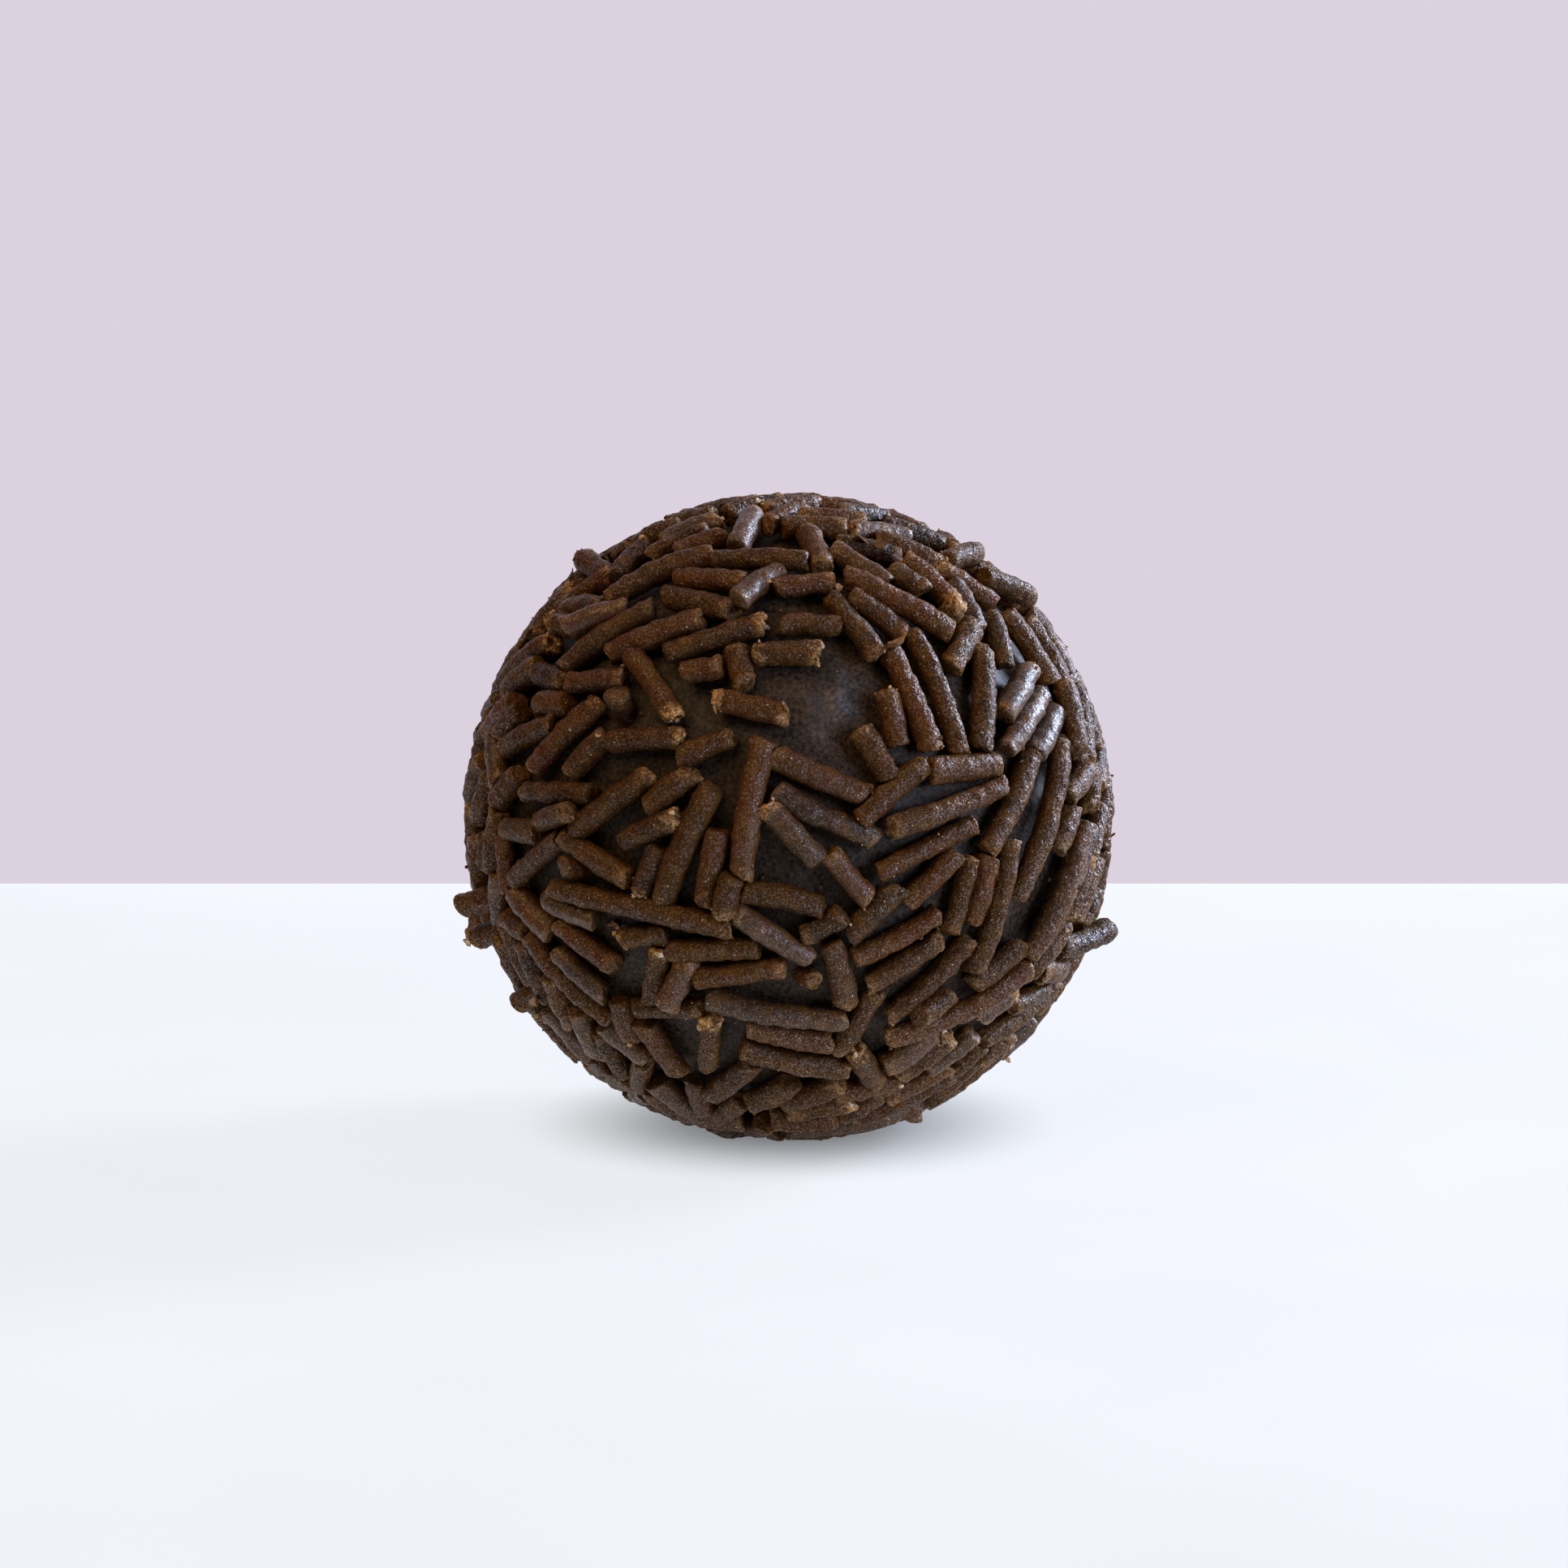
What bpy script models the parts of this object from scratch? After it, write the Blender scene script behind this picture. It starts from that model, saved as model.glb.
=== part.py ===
"""Rum truffle: a soft chocolate ball rolled in chocolate vermicelli, as one solid.

Metres, +Z up. It stands on z = 0 on the small flat that its own weight presses at the
bottom, with the origin under the middle of its outline. The front faces -Y.
"""

import math

import bmesh
import bpy
import numpy as np

MM = 0.001

# The ball
CORE_RADIUS = 15.9 * MM
CORE_OUT_OF_ROUND = (1.004, 0.997, 0.995)
CORE_SEGMENTS = 16
CORE_RINGS = 10
FACETED_CORE_GROWTH = 1.008
CENTRE_HEIGHT = 16.1 * MM
FRONT_RISE = math.radians(10.0)
LEAST_DEPTH = 0.12

# The vermicelli strands
SEED = 10
STRAND_COUNT = 540
STRAND_WIDTH = 1.23 * MM
WIDTH_SPREAD = 0.055
SEAT_RADIUS = 16.15 * MM
MOST_LIFT = 0.80 * MM
PRESSED_IN = 0.12 * MM
LENGTH_KINDS = (
    # share, shortest, longest
    (0.27, 2.0 * MM, 3.2 * MM),
    (0.41, 3.2 * MM, 4.6 * MM),
    (0.26, 4.6 * MM, 6.2 * MM),
    (0.06, 6.2 * MM, 8.2 * MM),
)
UPPER_SHARE = 0.20
UPPER_KEEPS_OFF = 0.42
UPPER_LENGTH = 4.8 * MM
LONGEST_AMONG_NAMED = 3.4 * MM
STEEP_SHARE = 0.04
STEEP_PITCH = math.radians(48.0)
STEEP_LENGTH = 2.9 * MM
STEEP_LIFT = -0.35 * MM
LOW_LIFT = 0.15 * MM
PLACE_SPREAD = 0.04
MEAN_LENGTH = 4.3 * MM
TURN_SPREAD = math.radians(34.0)

# Strands that stand out on the front: across and up in ball radii, heading in degrees,
# length and lift in mm. The strands round them lie much the same way.
LYING = {
    "long bent": (-0.475, -0.27, -13, 10.4, 0.25),
    "upright by the bare place": (-0.11, 0.03, 79, 7.0, 0.1),
    "steep left": (-0.33, -0.08, 67, 6.5, 0),
    "steep left short": (-0.24, -0.15, 80, 3.9, 0),
    "fan upper": (0.225, 0.575, -46, 4.2, 0.1),
    "fan lower": (0.36, 0.385, -62, 5.6, 0),
    "fan outer": (0.465, 0.395, -69, 6.9, 0),
    "fan upright": (0.60, 0.37, -89, 5.8, 0.1),
    "bright pair inner": (0.70, 0.385, 61, 3.9, 0.3),
    "bright pair outer": (0.725, 0.295, 57, 4.7, 0.3),
    "bright third": (0.795, 0.26, 60, 3.8, 0.2),
    "right brow steep": (0.54, 0.53, 61, 3.6, 0.1),
    "right brow falling": (0.65, 0.55, -75, 3.2, 0.1),
    "right brow outer": (0.755, 0.53, -54, 4.4, 0.2),
    "right edge long": (0.86, 0.34, -72, 5.4, 0.2),
    "rising upper": (0.49, 0.04, 25, 7.0, 0.25),
    "rising lower": (0.43, -0.09, 27, 5.8, 0),
    "level over the rising": (0.54, 0.15, -3, 4.2, 0.1),
    "wide stub": (0.31, 0.08, 42, 4.4, 0.15),
    "stub by the bare place": (0.33, 0.31, -86, 2.8, 0),
    "stub under it": (0.265, 0.20, -60, 2.8, 0),
    "falling upper": (0.09, 0.13, -23, 5.0, 0),
    "falling middle": (0.11, 0.00, -34, 5.6, 0),
    "falling lower": (0.01, -0.05, -37, 3.9, 0.1),
    "right long inner": (0.79, 0.00, 73, 8.8, 0.3),
    "right long outer": (0.83, -0.24, 66, 6.9, 0.4),
    "right lower": (0.64, -0.28, 74, 7.0, 0.1),
    "right upper": (0.69, 0.045, 65, 6.0, 0.1),
    "right steep": (0.53, -0.24, 76, 4.0, 0),
    "right short": (0.44, -0.185, 45, 3.5, 0),
    "golden ends": (-0.12, 0.34, -14, 3.8, 0.15),
    "golden tip": (-0.42, 0.41, -57, 4.6, 0),
    "stub over the golden": (-0.265, 0.46, 10, 2.1, 0),
    "small upright": (-0.15, 0.47, -76, 2.3, 0),
    "level stub": (-0.005, 0.51, 2, 3.1, 0),
    "level stub above": (0.06, 0.60, 1, 3.0, 0),
    "dark stub": (0.05, 0.725, 5, 3.2, 0),
    "bundle lowest": (-0.23, 0.56, 18, 5.1, 0),
    "bundle middle": (-0.42, 0.57, 22, 5.3, 0),
    "bundle highest": (-0.57, 0.57, 34, 5.6, 0),
    "over the bundle": (-0.28, 0.67, -14, 4.1, 0),
    "over it": (-0.24, 0.735, -3, 3.8, 0.1),
    "brow long": (-0.41, 0.755, 24, 5.8, 0.2),
    "crown level": (-0.09, 0.80, -1, 4.9, 0.2),
    "crown rising": (-0.135, 0.90, 65, 4.2, 0.1),
    "crown upright": (0.08, 0.84, -74, 3.6, 0),
    "crown falling": (0.34, 0.66, -27, 6.0, 0.3),
    "left stub": (-0.60, 0.43, 5, 3.8, 0),
    "left level": (-0.44, 0.245, 2, 4.0, 0),
    "left slanting stub": (-0.265, 0.215, 27, 3.0, 0),
    "left rising": (-0.70, 0.26, 45, 5.4, 0),
    "left rising short": (-0.625, 0.20, 46, 2.8, 0),
    "left far rising": (-0.82, 0.26, 25, 4.8, 0),
    "left far level": (-0.725, 0.08, -2, 5.2, 0),
    "left middle rising": (-0.545, 0.05, 36, 5.2, 0),
    "left inner rising": (-0.37, 0.09, 48, 3.1, 0),
    "left inner level": (-0.41, -0.03, 14, 3.3, 0.2),
    "left inner steep": (-0.43, -0.165, 68, 2.9, 0),
    "left falling": (-0.60, -0.13, -30, 4.4, 0),
    "left low rising": (-0.79, -0.13, 42, 5.0, 0),
    "centre level": (-0.02, -0.25, -1, 4.2, 0),
    "centre falling": (-0.06, -0.355, -32, 4.4, 0.1),
    "centre right falling": (0.175, -0.175, -43, 3.3, 0),
    "centre right rising": (0.26, -0.285, 46, 3.5, 0),
    "centre stub": (0.11, -0.33, 30, 2.3, 0),
    "lower level": (-0.23, -0.405, 3, 4.6, 0),
    "lower level second": (-0.15, -0.475, 8, 4.6, 0.1),
    "lower upright": (0.155, -0.475, -76, 3.7, 0),
    "low rising": (0.33, -0.37, 28, 4.8, 0),
    "low rising second": (0.36, -0.445, 31, 4.4, 0),
    "lowest rising": (0.44, -0.50, 43, 5.7, 0),
    "low slanting": (0.21, -0.63, 56, 3.9, 0),
    "low left upright": (-0.41, -0.475, 80, 3.2, 0.1),
    "low left stub": (-0.45, -0.365, 5, 2.6, 0),
    "foot upper": (-0.04, -0.60, -9, 6.7, 0.15),
    "foot middle": (0.00, -0.675, -12, 4.4, 0),
    "foot lower": (0.02, -0.755, -11, 5.8, 0.1),
    "foot rising": (-0.18, -0.82, 38, 4.4, 0),
    "foot falling": (-0.40, -0.72, -55, 3.7, 0),
    "foot stub": (-0.245, -0.69, 87, 3.8, 0.2),
    "foot left level": (-0.375, -0.59, 2, 4.0, 0),
    "lower right long": (0.53, -0.59, 25, 8.4, 0.3),
    "lower left long": (-0.69, -0.51, -45, 6.2, 0),
    "lower left inner": (-0.63, -0.395, -38, 3.8, 0),
}

# Strands that stand away from the ball: the same, with the lift of the middle and pitch
STANDING = {
    "left brow": (-0.60, 0.775, 172, 3.0, 0.45, 18),
    "left end-on upper": (-0.945, -0.26, 175, 3.2, 0.15, 44),
    "left end-on lower": (-0.925, -0.36, 185, 3.2, 0.20, 46),
    "left foot": (-0.80, -0.55, 215, 3.2, -0.10, 44),
    "right spur": (0.91, -0.38, 48, 4.6, 0.50, 20),
    "crown spur": (0.53, 0.80, 3, 3.2, 0.50, 10),
    "right shoulder": (0.66, 0.70, -28, 3.4, 0.75, 4),
    "crown end-on": (0.49, 0.62, 60, 3.0, -0.40, 62),
    "left end-on inner": (-0.66, -0.18, 120, 2.8, -0.60, 68),
    "foot end-on": (0.05, -0.50, 40, 2.8, -0.60, 66),
    "upper left end-on": (-0.52, 0.34, 80, 2.6, -0.50, 64),
}

# How the strands lie on the rest of the front: across, up, heading
LIE_REACH = 0.24
LIE_ELSEWHERE = {
    "left edge": (-0.93, 0.00, 84),
    "left edge below": (-0.90, -0.30, -70),
    "foot left": (-0.40, -0.82, -60),
    "foot right": (0.40, -0.86, 30),
    "right edge": (0.95, 0.05, 84),
    "right edge below": (0.80, -0.52, 48),
    "crown right": (0.60, 0.72, -34),
    "crown middle": (0.10, 0.93, 0),
    "crown left": (-0.45, 0.84, 34),
}
LIE_AROUND_BACK = 24

# Bare places on the front: across, up, radius, all in ball radii
BARE_PLACES = {
    "main": (0.13, 0.385, 0.150),
    "below the main": (0.07, 0.255, 0.075),
    "upper": (-0.05, 0.66, 0.050),
    "beside the golden": (-0.235, 0.305, 0.030),
    "under the centre": (0.12, -0.255, 0.025),
    "beside the upright": (0.02, -0.14, 0.040),
    "left": (-0.40, 0.17, 0.030),
    "low left": (-0.50, -0.46, 0.035),
    "low right": (0.30, -0.71, 0.050),
    "foot left": (-0.36, -0.73, 0.050),
}
BARE_AROUND_BACK = 6

# Settling
TINY = 1e-12
BEAD_SPACING = 0.68 * MM
EASE_STEPS = 24
EASE_SHARE = 0.5
SETTLE_STEPS = 170
PAIR_REFRESH = 10
PAIR_REACH = 2.0 * MM
PAIR_BLOCK = 256
CLOSENESS = 1.03
LOOSENESS = 1.5
PULL_IN = 0.018 * MM
HEADING_HOLD = 0.008
TURN_GAIN = 1.2
LIFT_GAIN = 1.6
PITCH_KEPT = 0.96
MOST_PITCH = 0.35
MOST_TURN = math.radians(4.0)
MOST_SHIFT = 0.22 * MM
CROWDED = 0.48
CROWDED_BY_NAMED = 0.78

# How much of the vermicelli the solid carries
SELECTION_CELLS = 48
MOST_STRANDS = 316
SIDES = 5
LONG_STRAND = 6.2 * MM
VERY_LONG_STRAND = 9.0 * MM
SHARPEST_ROUND = math.radians(76.0)

CHOCOLATE_COLOUR = (0.047, 0.028, 0.019, 1.0)
CHOCOLATE_ROUGHNESS = 0.5


def clear_scene():
    for thing in list(bpy.data.objects):
        bpy.data.objects.remove(thing, do_unlink=True)


def unit(vectors):
    return vectors / np.linalg.norm(vectors, axis=-1, keepdims=True)


def front_axes():
    """Across, up and outward directions of the front, which looks out a little upward."""
    rise, level = math.sin(FRONT_RISE), math.cos(FRONT_RISE)
    across = np.array([1.0, 0.0, 0.0])
    up = np.array([0.0, rise, level])
    outward = np.array([0.0, -level, rise])
    return across, up, outward


def front_place(across, up):
    """The direction from the centre to a place on the front half."""
    side, top, outward = front_axes()
    depth = math.sqrt(max(0.0, 1.0 - across * across - up * up))
    return unit(across * side + up * top + depth * outward)


def front_heading(place, degrees):
    """The direction along the ball that looks like this heading from the front."""
    side, top, outward = front_axes()
    angle = math.radians(degrees)
    seen = math.cos(angle) * side + math.sin(angle) * top
    depth = max(float(place @ outward), LEAST_DEPTH)
    lean = -float(seen @ place) / depth
    tangent = seen + lean * outward
    tangent = tangent - place * float(tangent @ place)
    return unit(tangent)


def even_places(count):
    """Directions spread evenly over the whole ball."""
    index = np.arange(count) + 0.5
    height = 1.0 - 2.0 * index / count
    ring = np.sqrt(1.0 - height * height)
    turn = index * math.pi * (3.0 - math.sqrt(5.0))
    return np.stack([ring * np.cos(turn), ring * np.sin(turn), height], axis=1)


def any_tangent(places, rng):
    loose = rng.normal(size=places.shape)
    loose -= places * np.sum(loose * places, axis=1, keepdims=True)
    return unit(loose)


def lie_of_strands(rng):
    """Places with the direction that the strands follow round them."""
    zones = [row[:3] for row in LYING.values()] + list(LIE_ELSEWHERE.values())
    places = [front_place(across, up) for across, up, _ in zones]
    headings = [front_heading(place, zone[2]) for place, zone in zip(places, zones)]
    outward = front_axes()[2]
    around = even_places(2 * LIE_AROUND_BACK)
    around = around[around @ outward < -0.1]
    places = np.vstack([np.array(places), around])
    headings = np.vstack([np.array(headings), any_tangent(around, rng)])
    return places, headings


def lie_at(points, lie):
    """The direction of lie at each point, blended from the places round it."""
    places, headings = lie
    apart = np.arccos(np.clip(points @ places.T, -1.0, 1.0))
    weight = np.exp(-((apart / LIE_REACH) ** 2)) + 1e-6
    spread = np.einsum("pk,ki,kj->pij", weight, headings, headings)
    flat = np.eye(3) - points[:, :, None] * points[:, None, :]
    spread = flat @ spread @ flat
    direction = np.linalg.eigh(spread)[1][:, :, 2]
    direction -= points * np.sum(direction * points, axis=1, keepdims=True)
    return unit(direction)


def bare_places(rng):
    """Centres and reach, in radians, of the places with few strands."""
    centres = [front_place(bare[0], bare[1]) for bare in BARE_PLACES.values()]
    reach = [bare[2] for bare in BARE_PLACES.values()]
    outward = front_axes()[2]
    around = unit(rng.normal(size=(4 * BARE_AROUND_BACK, 3)))
    around = around[around @ outward < -0.1][:BARE_AROUND_BACK]
    centres = np.vstack([np.array(centres), around])
    reach = np.concatenate([reach, rng.uniform(0.05, 0.10, len(around))])
    return centres, reach


def turned(along, places, angles):
    side = np.cross(places, along)
    return np.cos(angles)[:, None] * along + np.sin(angles)[:, None] * side


def drawn_lengths(count, rng):
    shares = np.array([kind[0] for kind in LENGTH_KINDS])
    picks = rng.choice(len(LENGTH_KINDS), size=count, p=shares / shares.sum())
    low = np.array([kind[1] for kind in LENGTH_KINDS])[picks]
    high = np.array([kind[2] for kind in LENGTH_KINDS])[picks]
    return low + (high - low) * rng.random(count)


def named_strands():
    """Place, direction, length, lift and pitch of the strands known one by one."""
    rows = []
    for across, up, heading, length, lift in LYING.values():
        place = front_place(across, up)
        rows.append((place, front_heading(place, heading), length * MM, lift * MM, 0.0))
    for across, up, heading, length, lift, pitch in STANDING.values():
        place = front_place(across, up)
        along = front_heading(place, heading)
        rows.append((place, along, length * MM, lift * MM, math.radians(pitch)))
    return rows


def places_left(named):
    """Even places over the ball, less those that the named strands take up."""
    places = even_places(STRAND_COUNT)
    free = np.ones(STRAND_COUNT, bool)
    for place, _, length, _, _ in named:
        nearness = np.where(free, places @ place, -np.inf)
        near = np.argsort(-nearness, kind="stable")
        free[near[: max(1, int(round(length / MEAN_LENGTH)))]] = False
    return places[free]


def draw_strands(lie, rng):
    """All strands before they settle: the named ones, then the drawn ones."""
    named = named_strands()
    places = places_left(named)
    count = len(places)
    places = unit(places + rng.normal(scale=PLACE_SPREAD, size=places.shape))
    along = turned(lie_at(places, lie), places, rng.normal(scale=TURN_SPREAD, size=count))
    named_places = np.array([row[0] for row in named])
    apart = (places @ named_places.T).max(axis=1) < math.cos(UPPER_KEEPS_OFF)
    upper = (rng.random(count) < UPPER_SHARE) & apart
    steep = (rng.random(count) < STEEP_SHARE) & apart
    length = drawn_lengths(count, rng)
    length = np.where(apart, length, np.minimum(length, LONGEST_AMONG_NAMED))
    length = np.where(upper, np.minimum(length, UPPER_LENGTH), length)
    length = np.where(steep, np.minimum(length, STEEP_LENGTH), length)
    pitch = np.where(steep, rng.choice([-1.0, 1.0], size=count) * STEEP_PITCH, 0.0)
    lift = np.where(upper, MOST_LIFT, rng.random(count) * LOW_LIFT)
    lift = np.where(steep, STEEP_LIFT, lift)
    total = count + len(named)
    width = STRAND_WIDTH * (1.0 + WIDTH_SPREAD * np.clip(rng.normal(size=total), -2, 2))
    return {
        "place": np.vstack([np.array([row[0] for row in named]), places]),
        "along": np.vstack([np.array([row[1] for row in named]), along]),
        "length": np.concatenate([[row[2] for row in named], length]),
        "lift": np.concatenate([[row[3] for row in named], lift]),
        "pitch": np.concatenate([[row[4] for row in named], pitch]),
        "width": width,
        "held": np.arange(total) < len(named),
        "steep": np.concatenate([np.zeros(len(named), bool), steep]),
    }


def axis_points(strands, owner, offset):
    """Points on the strands' axes, their outward directions and the way along."""
    place, along = strands["place"][owner], strands["along"][owner]
    pitch = strands["pitch"][owner]
    angle = (offset * np.cos(pitch) / SEAT_RADIUS)[:, None]
    outward = np.cos(angle) * place + np.sin(angle) * along
    way = np.cos(angle) * along - np.sin(angle) * place
    height = SEAT_RADIUS + strands["lift"][owner] + offset * np.sin(pitch)
    return outward * height[:, None], outward, way


def beads(strands):
    """Each strand as a row of beads: the strand each belongs to and its place along."""
    owner, offset = [], []
    for index, (length, width) in enumerate(zip(strands["length"], strands["width"])):
        half = 0.5 * (length - width)
        count = max(2, int(round(2.0 * half / BEAD_SPACING)) + 1)
        owner += [index] * count
        offset += list(np.linspace(-half, half, count))
    return np.array(owner), np.array(offset)


def close_pairs(points, owner):
    """Pairs of beads of different strands that are near enough to touch soon."""
    first, second = [], []
    order = np.arange(len(points))
    for start in range(0, len(points), PAIR_BLOCK):
        block = slice(start, start + PAIR_BLOCK)
        gap = points[block, None, :] - points[None, :, :]
        near = (gap * gap).sum(axis=2) < PAIR_REACH * PAIR_REACH
        near &= owner[block, None] != owner[None, :]
        near &= order[block, None] < order[None, :]
        one, two = np.nonzero(near)
        first.append(one + start)
        second.append(two)
    return np.concatenate(first), np.concatenate(second)


def summed(values, owner, count):
    if values.ndim == 1:
        return np.bincount(owner, weights=values, minlength=count)
    return np.stack([np.bincount(owner, weights=v, minlength=count) for v in values.T], axis=1)


def bead_pushes(points, owner, pairs, radius):
    """How far neighbours that overlap push each bead."""
    one, two = pairs
    gap = points[one] - points[two]
    apart = np.maximum(np.linalg.norm(gap, axis=1), 1e-9)
    wanted = (radius[owner[one]] + radius[owner[two]]) * CLOSENESS
    push = gap / apart[:, None] * (np.maximum(wanted - apart, 0.0) * 0.5)[:, None]
    return summed(push, one, len(points)) - summed(push, two, len(points))


def bare_pushes(outward, bare, radius):
    """How far the bare places push each bead along the ball."""
    centres, reach = bare
    total = np.zeros_like(outward)
    for centre, wide in zip(centres, reach):
        away = outward - centre * (outward @ centre)[:, None]
        length = np.maximum(np.linalg.norm(away, axis=1), 1e-9)
        inside = np.maximum(wide * SEAT_RADIUS + radius - length * SEAT_RADIUS, 0.0)
        inside = np.where(outward @ centre > 0.5, inside, 0.0)
        total += away / length[:, None] * (0.5 * inside)[:, None]
    return total


def slid(strands, owner, offset, push, loose, homing):
    """The places and directions once the pushes have slid and turned the strands."""
    count = len(strands["place"])
    _, outward, way = axis_points(strands, owner, offset)
    per_strand = np.bincount(owner, minlength=count)
    arm = np.maximum(summed(offset * offset, owner, count), TINY)
    sideways = np.sum(push * np.cross(outward, way), axis=1)
    lengthways = np.sum(push * way, axis=1)
    shift_side = summed(sideways, owner, count) / per_strand * LOOSENESS
    shift_way = summed(lengthways, owner, count) / per_strand * LOOSENESS
    shift_side = np.clip(shift_side, -MOST_SHIFT, MOST_SHIFT) * loose
    shift_way = np.clip(shift_way, -MOST_SHIFT, MOST_SHIFT) * loose
    turn = summed(sideways * offset, owner, count) / arm * TURN_GAIN
    turn = np.clip(turn + homing, -MOST_TURN, MOST_TURN) * loose
    place, along = strands["place"], strands["along"]
    shift = np.cross(place, along) * shift_side[:, None] + along * shift_way[:, None]
    along = turned(along, place, turn)
    place = unit(place + shift / SEAT_RADIUS)
    along = along - place * np.sum(along * place, axis=1, keepdims=True)
    return np.round(place, 9), np.round(unit(along), 9)


def way_home(strands, lie):
    """How far each strand turns back towards the lie of those round it in one step."""
    lie_now = lie_at(strands["place"], lie)
    side = np.cross(strands["place"], strands["along"])
    astray = np.sum(lie_now * side, axis=1) * np.sum(lie_now * strands["along"], axis=1)
    return HEADING_HOLD * astray


def raised(strands, owner, offset, push):
    """The lifts and pitches once the pushes have raised or tipped the strands."""
    count = len(strands["place"])
    _, outward, _ = axis_points(strands, owner, offset)
    per_strand = np.bincount(owner, minlength=count)
    arm = np.maximum(summed(offset * offset, owner, count), TINY)
    lifting = np.sum(push * outward, axis=1)
    lift = strands["lift"] + summed(lifting, owner, count) / per_strand * LIFT_GAIN - PULL_IN
    tip = summed(lifting * offset, owner, count) / arm * TURN_GAIN
    pitch = np.clip((strands["pitch"] + tip) * PITCH_KEPT, -MOST_PITCH, MOST_PITCH)
    lowest = np.abs(np.sin(pitch)) * 0.5 * strands["length"] - PRESSED_IN
    lift = np.clip(np.maximum(lift, lowest), 0.0, MOST_LIFT)
    return np.round(lift, 9), np.round(pitch, 9)


def ease_named(strands):
    """Slides the named strands out of one another."""
    named = {name: values[strands["held"]] for name, values in strands.items()}
    owner, offset = beads(named)
    for _ in range(EASE_STEPS):
        points = axis_points(named, owner, offset)[0]
        push = bead_pushes(points, owner, close_pairs(points, owner), 0.5 * named["width"])
        named["place"], named["along"] = slid(named, owner, offset, push, EASE_SHARE, 0.0)
    strands["place"][strands["held"]] = named["place"]
    strands["along"][strands["held"]] = named["along"]


def settle(strands, lie, bare):
    """Lets the strands push one another aside or ride up, and lie down on the core."""
    owner, offset = beads(strands)
    radius = 0.5 * strands["width"]
    loose = ~strands["held"]
    free = loose & ~strands["steep"]
    for step in range(SETTLE_STEPS):
        points, outward, _ = axis_points(strands, owner, offset)
        if step % PAIR_REFRESH == 0:
            pairs = close_pairs(points, owner)
        push = bead_pushes(points, owner, pairs, radius)
        push += bare_pushes(outward, bare, radius[owner])
        lift, pitch = raised(strands, owner, offset, push)
        homing = way_home(strands, lie)
        place, along = slid(strands, owner, offset, push, loose, homing)
        strands["place"], strands["along"] = place, along
        strands["lift"] = np.where(free, lift, strands["lift"])
        strands["pitch"] = np.where(free, pitch, strands["pitch"])
    return owner, offset


def uncrowded(strands, owner, offset):
    """Marks the strands to keep: of two in one place, or one over a named one, one goes."""
    points, outward, _ = axis_points(strands, owner, offset)
    one, two = close_pairs(points, owner)
    apart = np.linalg.norm(points[one] - points[two], axis=1)
    over = np.linalg.norm(outward[one] - outward[two], axis=1) * SEAT_RADIUS
    by_named = strands["held"][owner[one]] != strands["held"][owner[two]]
    deep = apart < CROWDED * STRAND_WIDTH
    deep |= by_named & (over < CROWDED_BY_NAMED * STRAND_WIDTH)
    kept = np.ones(len(strands["place"]), bool)
    rank = strands["length"] + strands["held"]
    for a, b in sorted(set(zip(owner[one[deep]], owner[two[deep]]))):
        if kept[a] and kept[b]:
            kept[a if rank[a] < rank[b] else b] = False
    return kept


def vermicelli():
    """The settled strands of the whole truffle."""
    rng = np.random.default_rng(SEED)
    lie = lie_of_strands(rng)
    bare = bare_places(rng)
    strands = draw_strands(lie, rng)
    ease_named(strands)
    owner, offset = settle(strands, lie, bare)
    kept = uncrowded(strands, owner, offset)
    return {name: values[kept] for name, values in strands.items()}


def strands_for_solid(strands):
    """The strands the solid carries: the named ones, then the longest round each place."""
    cells = even_places(SELECTION_CELLS)
    cell = np.argmax(strands["place"] @ cells.T, axis=1)
    longest_first = np.lexsort((-strands["length"], cell))
    first_of_cell = np.searchsorted(cell[longest_first], cell[longest_first])
    rank = np.empty(len(cell), int)
    rank[longest_first] = np.arange(len(cell)) - first_of_cell
    rank[strands["held"]] = -1
    return np.lexsort((-strands["length"], rank))[:MOST_STRANDS]


def strand_mesh(strands, index, name):
    """One strand: a faceted rod, bent to the curve of the ball, with blunt ends."""
    length, width = strands["length"][index], strands["width"][index]
    rings = 2 + int(length > LONG_STRAND) + int(length > VERY_LONG_STRAND)
    offset = np.linspace(-0.5 * length, 0.5 * length, rings)
    owner = np.full(rings, index)
    points, outward, way = axis_points(strands, owner, offset)
    pitch = strands["pitch"][index]
    way = math.cos(pitch) * way + math.sin(pitch) * outward
    side = unit(np.cross(outward, way))
    top = np.cross(way, side)
    angles = 0.5 * math.pi + 2.0 * math.pi * np.arange(SIDES) / SIDES
    reach = 0.5 * width
    loops = []
    centre = np.array([0.0, 0.0, CENTRE_HEIGHT])
    for ring in range(rings):
        spokes = np.cos(angles)[:, None] * side[ring] + np.sin(angles)[:, None] * top[ring]
        loops.append(points[ring] + centre + spokes * reach)
    corners = np.vstack(loops)
    faces = [tuple(range(SIDES))[::-1]]
    for ring in range(rings - 1):
        for edge in range(SIDES):
            low, high = ring * SIDES, (ring + 1) * SIDES
            following = (edge + 1) % SIDES
            faces.append((low + edge, low + following, high + following, high + edge))
    faces.append(tuple(range((rings - 1) * SIDES, rings * SIDES)))
    mesh = bpy.data.meshes.new(name)
    mesh.from_pydata(corners.tolist(), [], faces)
    return mesh


def add_strands(strands):
    """Every strand of the solid, in a collection of its own."""
    group = bpy.data.collections.new("vermicelli strands")
    bpy.context.scene.collection.children.link(group)
    for index in strands_for_solid(strands):
        name = f"strand_{index:03d}"
        group.objects.link(bpy.data.objects.new(name, strand_mesh(strands, index, name)))
    return group


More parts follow.
